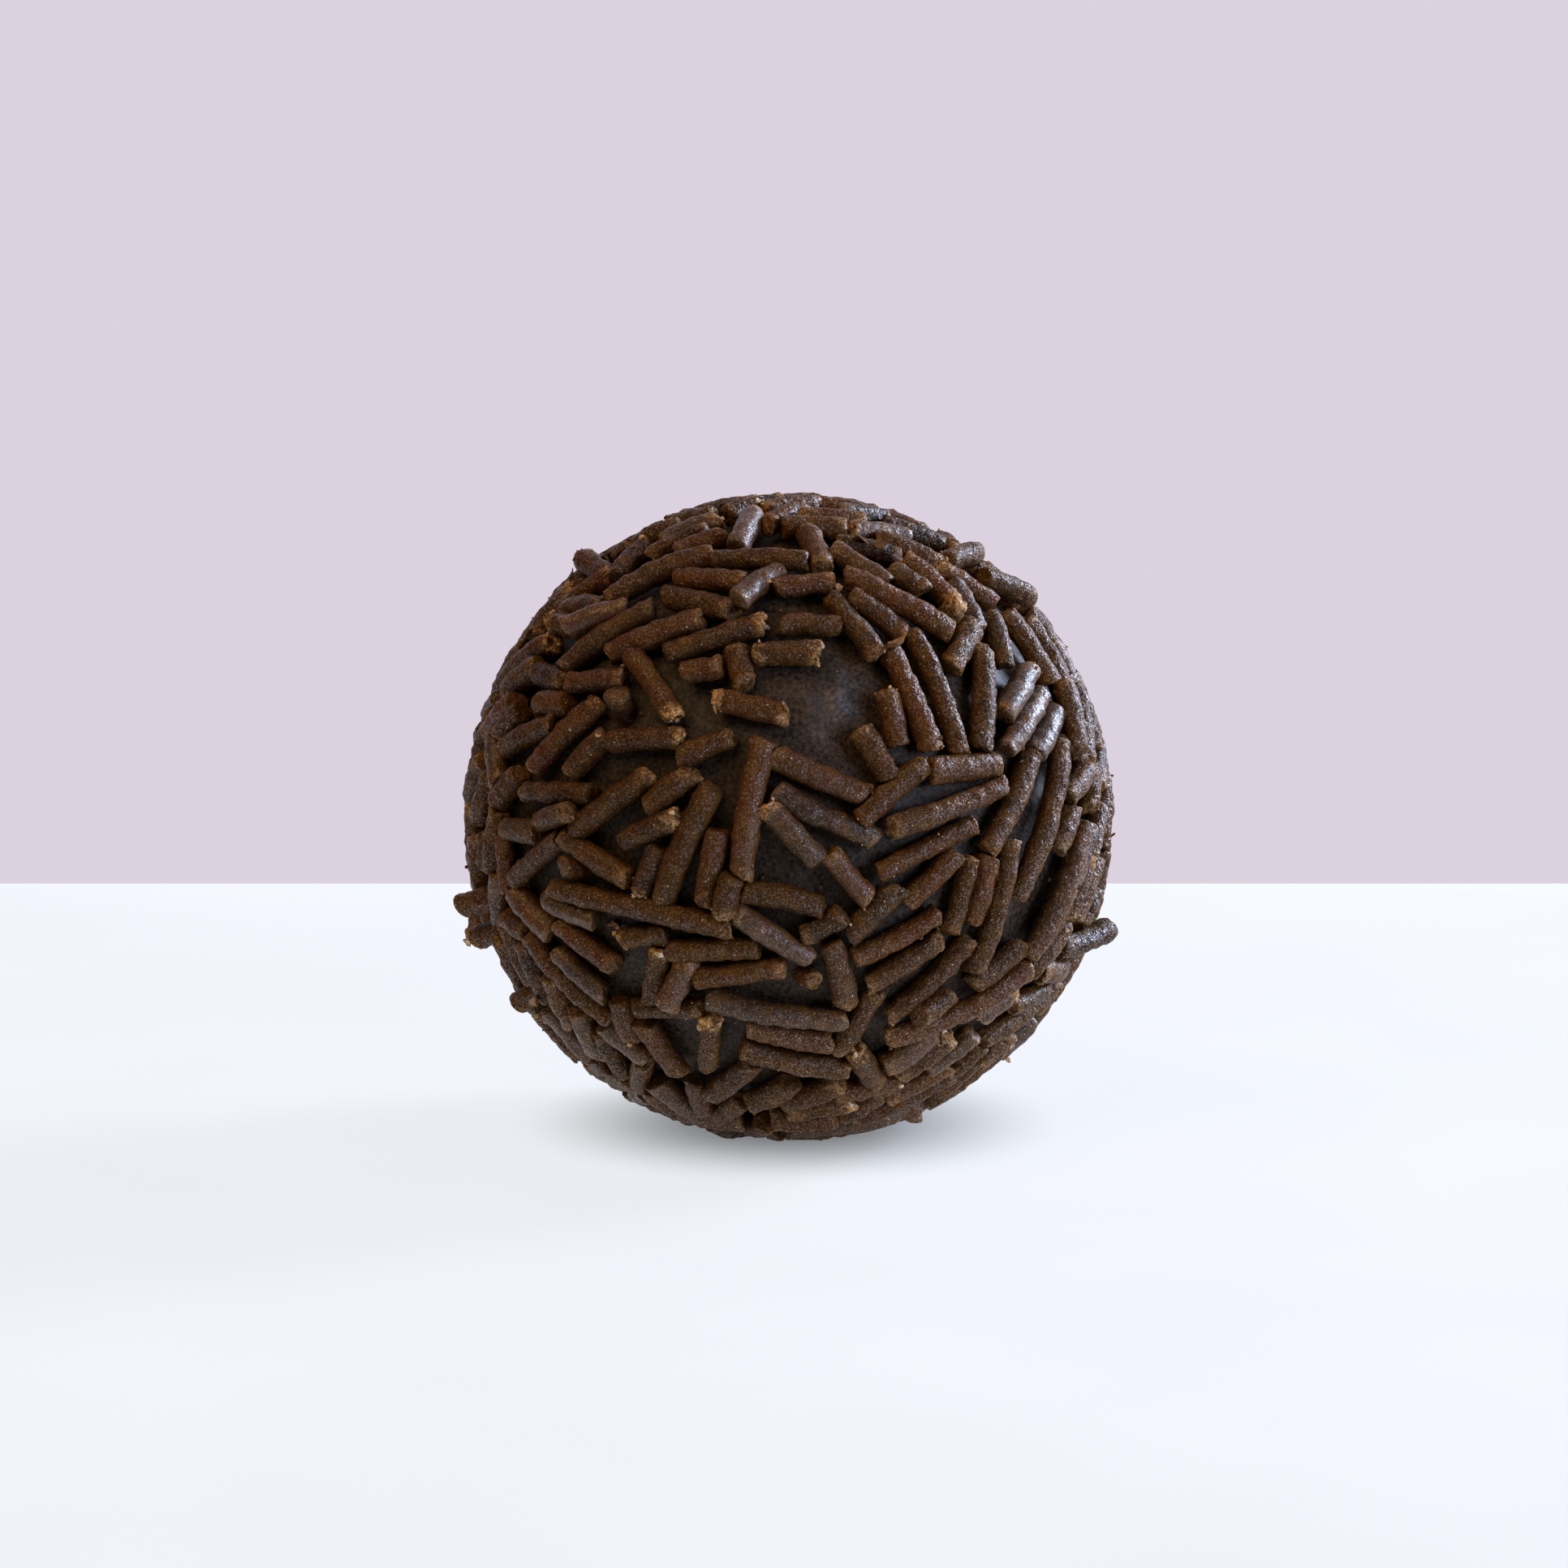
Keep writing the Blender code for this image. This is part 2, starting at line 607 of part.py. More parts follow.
def add_core():
    """The chocolate ball, a little out of round as one rolled between the palms is."""
    ball = bmesh.new()
    radius = CORE_RADIUS * FACETED_CORE_GROWTH
    bmesh.ops.create_uvsphere(
        ball, u_segments=CORE_SEGMENTS, v_segments=CORE_RINGS, radius=radius
    )
    for corner in ball.verts:
        corner.co.x *= CORE_OUT_OF_ROUND[0]
        corner.co.y *= CORE_OUT_OF_ROUND[1]
        corner.co.z = corner.co.z * CORE_OUT_OF_ROUND[2] + CENTRE_HEIGHT
    mesh = bpy.data.meshes.new("truffle")
    ball.to_mesh(mesh)
    ball.free()
    core = bpy.data.objects.new("truffle", mesh)
    bpy.context.scene.collection.objects.link(core)
    return core


def fuse(core, group):
    """Joins all strands to the core as one body."""
    joint = core.modifiers.new("strands joined to the core", "BOOLEAN")
    joint.operation = "UNION"
    joint.operand_type = "COLLECTION"
    joint.collection = group
    joint.solver = "EXACT"
    bpy.context.view_layer.update()
    graph = bpy.context.evaluated_depsgraph_get()
    fused = bpy.data.meshes.new_from_object(core.evaluated_get(graph))
    core.modifiers.clear()
    core.data = fused
    for strand in list(group.objects):
        bpy.data.objects.remove(strand, do_unlink=True)
    bpy.data.collections.remove(group)


def outer_shell(body):
    """Keeps the outer skin, so that sealed hollows are filled and scraps dropped."""
    left = set(body.verts)
    shells = []
    while left:
        shell = {left.pop()}
        edge_of_search = list(shell)
        while edge_of_search:
            corner = edge_of_search.pop()
            for edge in corner.link_edges:
                other = edge.other_vert(corner)
                if other not in shell:
                    shell.add(other)
                    edge_of_search.append(other)
        left -= shell
        shells.append(shell)
    largest = max(shells, key=len)
    rest = [corner for corner in body.verts if corner not in largest]
    bmesh.ops.delete(body, geom=rest, context="VERTS")


def press_foot(truffle):
    """Cuts the small flat on which the truffle stands."""
    body = bmesh.new()
    body.from_mesh(truffle.data)
    outer_shell(body)
    parts = list(body.verts) + list(body.edges) + list(body.faces)
    cut = bmesh.ops.bisect_plane(
        body, geom=parts, plane_co=(0.0, 0.0, 0.0), plane_no=(0.0, 0.0, -1.0), clear_outer=True
    )
    rim = [part for part in cut["geom_cut"] if isinstance(part, bmesh.types.BMEdge)]
    bmesh.ops.contextual_create(body, geom=rim)
    bmesh.ops.recalc_face_normals(body, faces=list(body.faces))
    body.to_mesh(truffle.data)
    body.free()


def chocolate():
    material = bpy.data.materials.new("dark chocolate")
    material.use_nodes = True
    surface = material.node_tree.nodes["Principled BSDF"]
    surface.inputs["Base Color"].default_value = CHOCOLATE_COLOUR
    surface.inputs["Roughness"].default_value = CHOCOLATE_ROUGHNESS
    surface.inputs["Metallic"].default_value = 0.0
    return material


def build():
    clear_scene()
    strands = vermicelli()
    core = add_core()
    fuse(core, add_strands(strands))
    press_foot(core)
    core.data.materials.clear()
    core.data.materials.append(chocolate())
    core.data.shade_smooth()
    core.data.set_sharp_from_angle(angle=SHARPEST_ROUND)


build()
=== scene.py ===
"""Rum truffle rolled in chocolate vermicelli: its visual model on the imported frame.

Metres, +Z up, the front faces -Y. The strands follow the rule of the solid, so that each
one of the solid's lies where the solid has it, with those that it leaves out between them.
"""

import functools
import itertools
import math

import bmesh
import bpy
import numpy as np
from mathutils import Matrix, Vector, kdtree


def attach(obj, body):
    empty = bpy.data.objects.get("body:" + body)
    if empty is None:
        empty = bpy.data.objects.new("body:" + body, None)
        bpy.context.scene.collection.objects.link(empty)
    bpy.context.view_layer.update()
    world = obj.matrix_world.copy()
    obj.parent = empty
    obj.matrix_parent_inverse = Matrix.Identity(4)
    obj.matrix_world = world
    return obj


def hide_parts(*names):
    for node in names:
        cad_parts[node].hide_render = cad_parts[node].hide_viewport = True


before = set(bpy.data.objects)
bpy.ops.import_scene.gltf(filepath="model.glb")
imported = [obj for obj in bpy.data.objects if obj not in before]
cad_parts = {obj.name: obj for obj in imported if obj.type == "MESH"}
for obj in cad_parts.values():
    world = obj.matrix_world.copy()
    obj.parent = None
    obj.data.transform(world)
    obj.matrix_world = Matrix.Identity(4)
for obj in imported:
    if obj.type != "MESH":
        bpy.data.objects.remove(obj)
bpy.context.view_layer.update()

bl_info = {
    "name": "Rum truffle in chocolate vermicelli",
    "version": (1, 0, 0),
    "blender": (4, 5, 0),
    "location": "3D View > Sidebar > Truffle",
    "description": "Rolled truffle centre, its vermicelli strands and crumbs, and a plain stage",
    "category": "Object",
}

MM = 0.001
BODY = "root"
NODE = "truffle"

# The ball
CENTRE_NAME = "rolled_centre"
CENTRE_FINENESS = 7
CRUMB_FINENESS = 2
CORE_OUT_OF_ROUND = (1.004, 0.997, 0.995)
CENTRE_HEIGHT = 16.1 * MM
FRONT_RISE = math.radians(10.0)
LEAST_DEPTH = 0.12
# A place is behind the ball's edge when less than this of its direction is outward
BEHIND = -0.1

# The vermicelli strands
SEED = 10
STRAND_COUNT = 540
STRAND_WIDTH = 1.23 * MM
WIDTH_SPREAD = 0.055
MOST_SPREADS = 2
SEAT_RADIUS = 16.15 * MM
MOST_LIFT = 0.80 * MM
PRESSED_IN = 0.12 * MM
LENGTH_KINDS = (
    # share, shortest, longest
    (0.27, 2.0 * MM, 3.2 * MM),
    (0.41, 3.2 * MM, 4.6 * MM),
    (0.26, 4.6 * MM, 6.2 * MM),
    (0.06, 6.2 * MM, 8.2 * MM),
)
UPPER_SHARE = 0.20
UPPER_KEEPS_OFF = 0.42
UPPER_LENGTH = 4.8 * MM
LONGEST_AMONG_NAMED = 3.4 * MM
STEEP_SHARE = 0.04
STEEP_PITCH = math.radians(48.0)
STEEP_LENGTH = 2.9 * MM
STEEP_LIFT = -0.35 * MM
LOW_LIFT = 0.15 * MM
PLACE_SPREAD = 0.04
MEAN_LENGTH = 4.3 * MM
TURN_SPREAD = math.radians(34.0)

# Strands that stand out on the front: across and up in ball radii, heading in degrees,
# length and lift in mm. The strands round them lie much the same way.
LYING = {
    "long bent": (-0.475, -0.27, -13, 10.4, 0.25),
    "upright by the bare place": (-0.11, 0.03, 79, 7.0, 0.1),
    "steep left": (-0.33, -0.08, 67, 6.5, 0),
    "steep left short": (-0.24, -0.15, 80, 3.9, 0),
    "fan upper": (0.225, 0.575, -46, 4.2, 0.1),
    "fan lower": (0.36, 0.385, -62, 5.6, 0),
    "fan outer": (0.465, 0.395, -69, 6.9, 0),
    "fan upright": (0.60, 0.37, -89, 5.8, 0.1),
    "bright pair inner": (0.70, 0.385, 61, 3.9, 0.3),
    "bright pair outer": (0.725, 0.295, 57, 4.7, 0.3),
    "bright third": (0.795, 0.26, 60, 3.8, 0.2),
    "right brow steep": (0.54, 0.53, 61, 3.6, 0.1),
    "right brow falling": (0.65, 0.55, -75, 3.2, 0.1),
    "right brow outer": (0.755, 0.53, -54, 4.4, 0.2),
    "right edge long": (0.86, 0.34, -72, 5.4, 0.2),
    "rising upper": (0.49, 0.04, 25, 7.0, 0.25),
    "rising lower": (0.43, -0.09, 27, 5.8, 0),
    "level over the rising": (0.54, 0.15, -3, 4.2, 0.1),
    "wide stub": (0.31, 0.08, 42, 4.4, 0.15),
    "stub by the bare place": (0.33, 0.31, -86, 2.8, 0),
    "stub under it": (0.265, 0.20, -60, 2.8, 0),
    "falling upper": (0.09, 0.13, -23, 5.0, 0),
    "falling middle": (0.11, 0.00, -34, 5.6, 0),
    "falling lower": (0.01, -0.05, -37, 3.9, 0.1),
    "right long inner": (0.79, 0.00, 73, 8.8, 0.3),
    "right long outer": (0.83, -0.24, 66, 6.9, 0.4),
    "right lower": (0.64, -0.28, 74, 7.0, 0.1),
    "right upper": (0.69, 0.045, 65, 6.0, 0.1),
    "right steep": (0.53, -0.24, 76, 4.0, 0),
    "right short": (0.44, -0.185, 45, 3.5, 0),
    "golden ends": (-0.12, 0.34, -14, 3.8, 0.15),
    "golden tip": (-0.42, 0.41, -57, 4.6, 0),
    "stub over the golden": (-0.265, 0.46, 10, 2.1, 0),
    "small upright": (-0.15, 0.47, -76, 2.3, 0),
    "level stub": (-0.005, 0.51, 2, 3.1, 0),
    "level stub above": (0.06, 0.60, 1, 3.0, 0),
    "dark stub": (0.05, 0.725, 5, 3.2, 0),
    "bundle lowest": (-0.23, 0.56, 18, 5.1, 0),
    "bundle middle": (-0.42, 0.57, 22, 5.3, 0),
    "bundle highest": (-0.57, 0.57, 34, 5.6, 0),
    "over the bundle": (-0.28, 0.67, -14, 4.1, 0),
    "over it": (-0.24, 0.735, -3, 3.8, 0.1),
    "brow long": (-0.41, 0.755, 24, 5.8, 0.2),
    "crown level": (-0.09, 0.80, -1, 4.9, 0.2),
    "crown rising": (-0.135, 0.90, 65, 4.2, 0.1),
    "crown upright": (0.08, 0.84, -74, 3.6, 0),
    "crown falling": (0.34, 0.66, -27, 6.0, 0.3),
    "left stub": (-0.60, 0.43, 5, 3.8, 0),
    "left level": (-0.44, 0.245, 2, 4.0, 0),
    "left slanting stub": (-0.265, 0.215, 27, 3.0, 0),
    "left rising": (-0.70, 0.26, 45, 5.4, 0),
    "left rising short": (-0.625, 0.20, 46, 2.8, 0),
    "left far rising": (-0.82, 0.26, 25, 4.8, 0),
    "left far level": (-0.725, 0.08, -2, 5.2, 0),
    "left middle rising": (-0.545, 0.05, 36, 5.2, 0),
    "left inner rising": (-0.37, 0.09, 48, 3.1, 0),
    "left inner level": (-0.41, -0.03, 14, 3.3, 0.2),
    "left inner steep": (-0.43, -0.165, 68, 2.9, 0),
    "left falling": (-0.60, -0.13, -30, 4.4, 0),
    "left low rising": (-0.79, -0.13, 42, 5.0, 0),
    "centre level": (-0.02, -0.25, -1, 4.2, 0),
    "centre falling": (-0.06, -0.355, -32, 4.4, 0.1),
    "centre right falling": (0.175, -0.175, -43, 3.3, 0),
    "centre right rising": (0.26, -0.285, 46, 3.5, 0),
    "centre stub": (0.11, -0.33, 30, 2.3, 0),
    "lower level": (-0.23, -0.405, 3, 4.6, 0),
    "lower level second": (-0.15, -0.475, 8, 4.6, 0.1),
    "lower upright": (0.155, -0.475, -76, 3.7, 0),
    "low rising": (0.33, -0.37, 28, 4.8, 0),
    "low rising second": (0.36, -0.445, 31, 4.4, 0),
    "lowest rising": (0.44, -0.50, 43, 5.7, 0),
    "low slanting": (0.21, -0.63, 56, 3.9, 0),
    "low left upright": (-0.41, -0.475, 80, 3.2, 0.1),
    "low left stub": (-0.45, -0.365, 5, 2.6, 0),
    "foot upper": (-0.04, -0.60, -9, 6.7, 0.15),
    "foot middle": (0.00, -0.675, -12, 4.4, 0),
    "foot lower": (0.02, -0.755, -11, 5.8, 0.1),
    "foot rising": (-0.18, -0.82, 38, 4.4, 0),
    "foot falling": (-0.40, -0.72, -55, 3.7, 0),
    "foot stub": (-0.245, -0.69, 87, 3.8, 0.2),
    "foot left level": (-0.375, -0.59, 2, 4.0, 0),
    "lower right long": (0.53, -0.59, 25, 8.4, 0.3),
    "lower left long": (-0.69, -0.51, -45, 6.2, 0),
    "lower left inner": (-0.63, -0.395, -38, 3.8, 0),
}

# Strands that stand away from the ball: the same, with the lift of the middle and pitch
STANDING = {
    "left brow": (-0.60, 0.775, 172, 3.0, 0.45, 18),
    "left end-on upper": (-0.945, -0.26, 175, 3.2, 0.15, 44),
    "left end-on lower": (-0.925, -0.36, 185, 3.2, 0.20, 46),
    "left foot": (-0.80, -0.55, 215, 3.2, -0.10, 44),
    "right spur": (0.91, -0.38, 48, 4.6, 0.50, 20),
    "crown spur": (0.53, 0.80, 3, 3.2, 0.50, 10),
    "right shoulder": (0.66, 0.70, -28, 3.4, 0.75, 4),
    "crown end-on": (0.49, 0.62, 60, 3.0, -0.40, 62),
    "left end-on inner": (-0.66, -0.18, 120, 2.8, -0.60, 68),
    "foot end-on": (0.05, -0.50, 40, 2.8, -0.60, 66),
    "upper left end-on": (-0.52, 0.34, 80, 2.6, -0.50, 64),
}

# How the strands lie on the rest of the front: across, up, heading
LIE_REACH = 0.24
LIE_ELSEWHERE = {
    "left edge": (-0.93, 0.00, 84),
    "left edge below": (-0.90, -0.30, -70),
    "foot left": (-0.40, -0.82, -60),
    "foot right": (0.40, -0.86, 30),
    "right edge": (0.95, 0.05, 84),
    "right edge below": (0.80, -0.52, 48),
    "crown right": (0.60, 0.72, -34),
    "crown middle": (0.10, 0.93, 0),
    "crown left": (-0.45, 0.84, 34),
}
LIE_AROUND_BACK = 24

# Bare places on the front: across, up, radius, all in ball radii
BARE_PLACES = {
    "main": (0.13, 0.385, 0.150),
    "below the main": (0.07, 0.255, 0.075),
    "upper": (-0.05, 0.66, 0.050),
    "beside the golden": (-0.235, 0.305, 0.030),
    "under the centre": (0.12, -0.255, 0.025),
    "beside the upright": (0.02, -0.14, 0.040),
    "left": (-0.40, 0.17, 0.030),
    "low left": (-0.50, -0.46, 0.035),
    "low right": (0.30, -0.71, 0.050),
    "foot left": (-0.36, -0.73, 0.050),
}
BARE_AROUND_BACK = 6
BARE_AT_BACK = (0.05, 0.10)
SAME_SIDE = 0.5

# Settling
TINY = 1e-12
NO_LENGTH = 1e-9
NO_WEIGHT = 1e-6
DIGITS = 9
BEAD_SPACING = 0.68 * MM
EASE_STEPS = 24
EASE_SHARE = 0.5
SETTLE_STEPS = 170
PAIR_REFRESH = 10
PAIR_REACH = 2.0 * MM
PAIR_BLOCK = 256
CLOSENESS = 1.03
LOOSENESS = 1.5
PULL_IN = 0.018 * MM
HEADING_HOLD = 0.008
TURN_GAIN = 1.2
LIFT_GAIN = 1.6
PITCH_KEPT = 0.96
MOST_PITCH = 0.35
MOST_TURN = math.radians(4.0)
MOST_SHIFT = 0.22 * MM
CROWDED = 0.48
CROWDED_BY_NAMED = 0.78

# Ends that broke and show the pale crumb of the chocolate: the strand, tail and head
BROKEN_ENDS = {
    "golden ends": (1.0, 0.55),
    "golden tip": (0.0, 1.0),
    "bundle lowest": (0.0, 0.7),
    "falling lower": (0.9, 0.0),
    "crown end-on": (0.0, 1.0),
    "stub by the bare place": (0.5, 0.0),
    "fan upper": (0.0, 0.45),
    "left middle rising": (0.0, 0.4),
    "wide stub": (0.0, 0.35),
    "left end-on lower": (0.0, 0.6),
    "left level": (0.0, 0.8),
    "left inner level": (0.0, 0.9),
    "left inner steep": (0.8, 0.0),
    "low left upright": (0.0, 0.8),
    "low left stub": (0.6, 0.0),
    "foot stub": (0.0, 1.0),
    "level stub": (0.5, 0.6),
}

# Bloom of the named strands that have no look of their own, for the bloom of the others
PLAIN_NAMED = 0.78

# Strands whose colour stands out: tone, from dark brown to dusty, and bloom
NAMED_LOOKS = {
    "golden ends": (0.74, 0.2),
    "golden tip": (0.72, 0.3),
    "falling middle": (0.05, 0.93),
    "falling lower": (0.97, 0.88),
    "falling upper": (0.9, 0.82),
    "centre falling": (0.95, 0.95),
    "foot upper": (0.1, 0.9),
    "bright pair inner": (0.1, 1.0),
    "bright pair outer": (0.95, 1.0),
    "bright third": (0.05, 1.0),
    "crown rising": (0.95, 0.95),
    "upright by the bare place": (0.8, 0.85),
    "fan lower": (0.78, 0.5),
    "fan outer": (0.6, 0.4),
    "centre right falling": (0.8, 0.9),
    "low rising": (0.78, 0.3),
    "right long inner": (0.3, 0.4),
    "long bent": (0.62, 0.3),
    "lower level": (0.68, 0.2),
    "lower level second": (0.72, 0.2),
}

# Kinds of strand, each one piece: name and its shortest length
KINDS = (
    ("vermicelli_short", 0.0),
    ("vermicelli_middle", 3.3 * MM),
    ("vermicelli_long", 4.7 * MM),
)
SIDES = 18
END_RINGS = 6
RING_SPACING = 0.17 * MM
USUAL_LENGTH = 75
MOST_TRIANGLES = 199000

# A worn rim: reach of the ring on the end face, reach from which a ring is part of the
# body, and how deep and how far in the middle of the rim is
FACE_RING = 0.40
ON_BODY = 0.6
RIM_DEPTH = 0.22
RIM_IN = 0.36

# How strands differ. They bend and kink sideways, and a kink's place is a share of the
# length.
PALE_END = (0.4, 1.0)
BEND_RADIUS = 45.0 * MM
MOST_BEND = 0.34 * MM
KINKED = 0.05
KINKED_FROM = 3.6 * MM
KINK = (0.10, 0.26)
KINK_PLACE = 0.25
# What bend and kink come to on average, so that the strand stays in its place
MEAN_BEND = 1.0 / 3.0
MEAN_KINK = 0.25
SQUEEZED = 0.035

# Unevenness in the mesh: size of the lumps, and the seed of each pattern
TEAR = (0.34 * MM, 3)
FINE_TEAR = (0.16 * MM, 4)
STRAND_WAVES = (1.5 * MM, 5)
STRAND_LUMPS = (0.36 * MM, 6)
STRAND_GRAIN = (0.19 * MM, 7)
CENTRE_WAVES = (4.2 * MM, 11)
CENTRE_DENTS = (1.1 * MM, 12)
CENTRE_GRAIN = (0.34 * MM, 13)
CENTRE_CRUMB = (0.22 * MM, 14)
# Primes that mix the cells of a pattern into its values
MIXERS = (73856093, 19349663, 83492791)
SEED_MIXER = 40503
STIRRERS = ((13, 1274126177), (11, 668265263))
MIXED_BITS = 0xFFFFFFF
# Moves the pattern on from strand to strand, in mm
STRAND_DRIFT = (0.37, 0.91, 0.53)

# A torn end: how much its fine tear counts, the most that it stands out, how far it
# reaches in strand widths, how much it eats into the rim, and how its crumb fades
FINE_TEAR_SHARE = 0.6
MOST_OUT = 0.3
END_REACH = 0.9
RIM_EATEN = 0.7
CRUMB_FADE = (2.2, 0.9)

# How far from the strands the core is painted dark as shade, and from where it is open and dusty
OPEN_FROM = 1.1 * MM
OPEN_TO = 2.7 * MM

# Crumbs lie where the skin faces out, and at torn ends also where it faces sideways, but
# not next to the floor. Most are small. Sizes are in widths of the largest crumb.
FACES_OUT = 0.35
FACES_SIDEWAYS = -0.2
TORN_FROM = 0.3
PALE_FROM = 0.45
OFF_THE_FLOOR = 0.8 * MM
MOSTLY_SMALL = 3
CRUMB_STRETCH = (0.65, 1.25)
CRUMB_CHIPS = 0.38
CRUMB_RISE = 0.2
FLAKE_SIZES = (0.9, 1.8)
END_CRUMB_SIZES = (0.3, 1.1)
PALE_TONES = (0.6, 0.95)
MOST_TONE = 0.9
TORN_TONES = (0.4, 0.66)

# How long, wide and thick a flake is for its size, how steep one side is folded, and how
# far it tilts
FLAKE = (1.3, 0.8, 0.28)
FOLD = 0.9
FLAKE_TILT = 0.8

# Flakes of skin torn off a strand and still on it: across, up, length in mm
TORN_FLAKES = {
    "on the fan": (0.325, 0.53, 0.75),
    "on the fan, beside it": (0.305, 0.505, 0.65),
    "at the crown": (0.29, 0.825, 0.8),
    "at the crown, lower": (0.33, 0.79, 0.6),
    "at the crown, left": (0.22, 0.835, 0.6),
    "beside the golden ends": (-0.01, 0.335, 0.6),
    "on the left inner level": (-0.345, 0.0, 0.6),
    "at the low left stub": (-0.55, -0.345, 0.6),
    "at the steep left short": (-0.255, -0.215, 0.5),
    "at the left outline": (-0.76, -0.56, 0.6),
}
# How far round its place, in ball radii, a torn flake looks for the outermost corner
FLAKE_REACH = 0.02

# The stage. The board is level round the ball and then falls away, and its grid gathers at
# the middle. Its glow dims under the ball, a painted shadow, and grows to the lit part.
FLOOR_REACH = 500.0 * MM
FLOOR_LEVEL_TO = 52.5 * MM
FLOOR_FALL_RADIUS = 150.0 * MM
FLOOR_STEPS = 96
FLOOR_GATHERED = 1.5
PAINTED_SHADOW_TO = 3.0 * MM
LIT_FROM = 15.0 * MM
PAINTED_SHADOW_GLOW = 0.25
BRIGHT_SIDE = (0.50, 0.86, 0.05)
BRIGHT_FROM, BRIGHT_TO = -0.15, 0.75
# Lamps: name, place, side of the square, watts and colour
LAMPS = (
    ("window", (0.45, 0.27, 0.23), 0.17, 7.1, "#d2e1ff"),
    ("side window", (0.42, -0.30, 0.12), 0.24, 2.0, "#cddcff"),
    ("ceiling", (-0.22, -0.20, 0.42), 0.40, 1.27, "#ffd9a6"),
)
# The ball in the frame: its radius and the place of its middle, in pixels
PHOTO_SIDE = 1932.0
BALL_PIXELS = 405.7
BALL_PLACE = (972.0, 1007.0)
BALL_RADIUS = 17.0 * MM
SENSOR = 36.0
NEAREST, FARTHEST = 0.01, 10.0


# Colours


def linear(code):
    """An sRGB hex value as linear red, green, blue and alpha."""
    parts = [int(code[place : place + 2], 16) / 255.0 for place in (1, 3, 5)]
    return tuple(
        part / 12.92 if part <= 0.04045 else ((part + 0.055) / 1.055) ** 2.4 for part in parts
    ) + (1.0,)


def hexed_colour(name, description, code):
    return bpy.props.FloatVectorProperty(
        name=name,
        description=description,
        subtype="COLOR",
        size=4,
        min=0.0,
        max=1.0,
        default=linear(code),
    )


def length(name, description, default):
    return bpy.props.FloatProperty(
        name=name, description=description, default=default, min=0.0, precision=6, unit="LENGTH"
    )


def share(name, description, default, most=1.0):
    return bpy.props.FloatProperty(
        name=name, description=description, default=default, min=0.0, max=most
    )


class TruffleCentre(bpy.types.PropertyGroup):
    """The rolled centre under the strands."""

    radius: length("Radius", "Radius of the rolled centre", 15.45 * MM)
    waves: length("Waves", "Height of the broad unevenness that rolling leaves", 0.16 * MM)
    dents: length("Dents", "Height of the small dents", 0.05 * MM)
    grain: length("Grain", "Height of the finest grain in the mesh", 0.018 * MM)
    crumbs: length("Crumbs", "Height of the fine crumb on the bare places", 0.03 * MM)
    # Painted shade: the core between the strands gets this darker colour
    painted_shade: hexed_colour("Shade", "Chocolate between the strands", "#2f251c")
    dark: hexed_colour("Dark", "Chocolate in the hollows", "#211812")
    middle: hexed_colour("Middle", "Most of the surface", "#30241b")
    smeared: hexed_colour("Smeared", "Smears that rubbed off the strands", "#4c3828")
    # Fat bloom, its bluish grey partly a painted sheen
    bloom: hexed_colour("Bloom", "Where the fat has bloomed", "#3f444d")


class TruffleVermicelli(bpy.types.PropertyGroup):
    """The strands."""

    edge: share("Worn edge", "Rounding of an end's rim, in strand widths", 0.095)
    slant: share("Slant", "Most slope of a broken end", 0.36)
    ragged: length("Raggedness", "Unevenness of a clean end", 0.11 * MM)
    torn: length("Torn end", "Unevenness of an end that shows its crumb", 0.28 * MM)
    broken: share("Pale ends", "Share of the ends that show their pale crumb", 0.09)
    worn: share("Worn ends", "Most that any other end shows of its crumb", 0.34)
    waves: share("Waves", "Change of width along a strand, in strand widths", 0.06)
    lumps: length("Lumps", "Height of the lumps in the surface", 0.075 * MM)
    grain: length("Grain", "Height of the finest grain in the mesh", 0.030 * MM)
    cool: hexed_colour("Cool brown", "The darkest strands", "#301d0d")
    plain: hexed_colour("Brown", "Most strands", "#43270b")
    warm: hexed_colour("Warm brown", "The reddest strands", "#502b0e")
    dusty: hexed_colour("Dusty brown", "The palest strands", "#432d19")
    rubbed: hexed_colour("Rubbed", "Patches where the surface is rubbed", "#643d12")
    crumb: hexed_colour("Crumb", "Where a strand has broken", "#c3935a")
    # Near white specks: grains of sugar and milk, partly painted glints
    specks: hexed_colour("Specks", "Tiny pale grains in the surface", "#d6cabd")


class TruffleCrumbs(bpy.types.PropertyGroup):
    """Loose bits."""

    count: bpy.props.IntProperty(
        name="Count", description="Number of crumbs on the truffle", default=1600, min=0, max=3000
    )
    at_ends: share("At torn ends", "How much likelier a crumb is at a torn end", 60.0, 100.0)
    flakes: share("Flakes", "Share of the crumbs that are thin flakes", 0.07)
    smallest: length("Smallest", "Smallest crumb, across", 0.07 * MM)
    largest: length("Largest", "Largest crumb, across", 0.26 * MM)


class TruffleStage(bpy.types.PropertyGroup):
    """Floor, light and camera."""

    floor: hexed_colour("Board", "Opal board", "#4a4b4d")
    glow: share("Glow", "Light that the board gives off of itself", 11.4, 20.0)
    backdrop: hexed_colour("Backdrop", "Pale surround", "#dcd2df")
    room: hexed_colour("Room", "The dimmer side of the surround", "#38332f")
    window: share("Window", "Brightness of the soft lamps", 1.0, 10.0)
    distance: length("Distance", "From the camera to the ball", 400.0 * MM)


SETTINGS = (
    ("truffle_centre", TruffleCentre),
    ("truffle_vermicelli", TruffleVermicelli),
    ("truffle_crumbs", TruffleCrumbs),
    ("truffle_stage", TruffleStage),
)


# The rule of the strands


def unit(vectors):
    return vectors / np.linalg.norm(vectors, axis=-1, keepdims=True)


def front_axes():
    """Across, up and outward directions of the front, which looks out a little upward."""
    rise, level = math.sin(FRONT_RISE), math.cos(FRONT_RISE)
    across = np.array([1.0, 0.0, 0.0])
    up = np.array([0.0, rise, level])
    outward = np.array([0.0, -level, rise])
    return across, up, outward


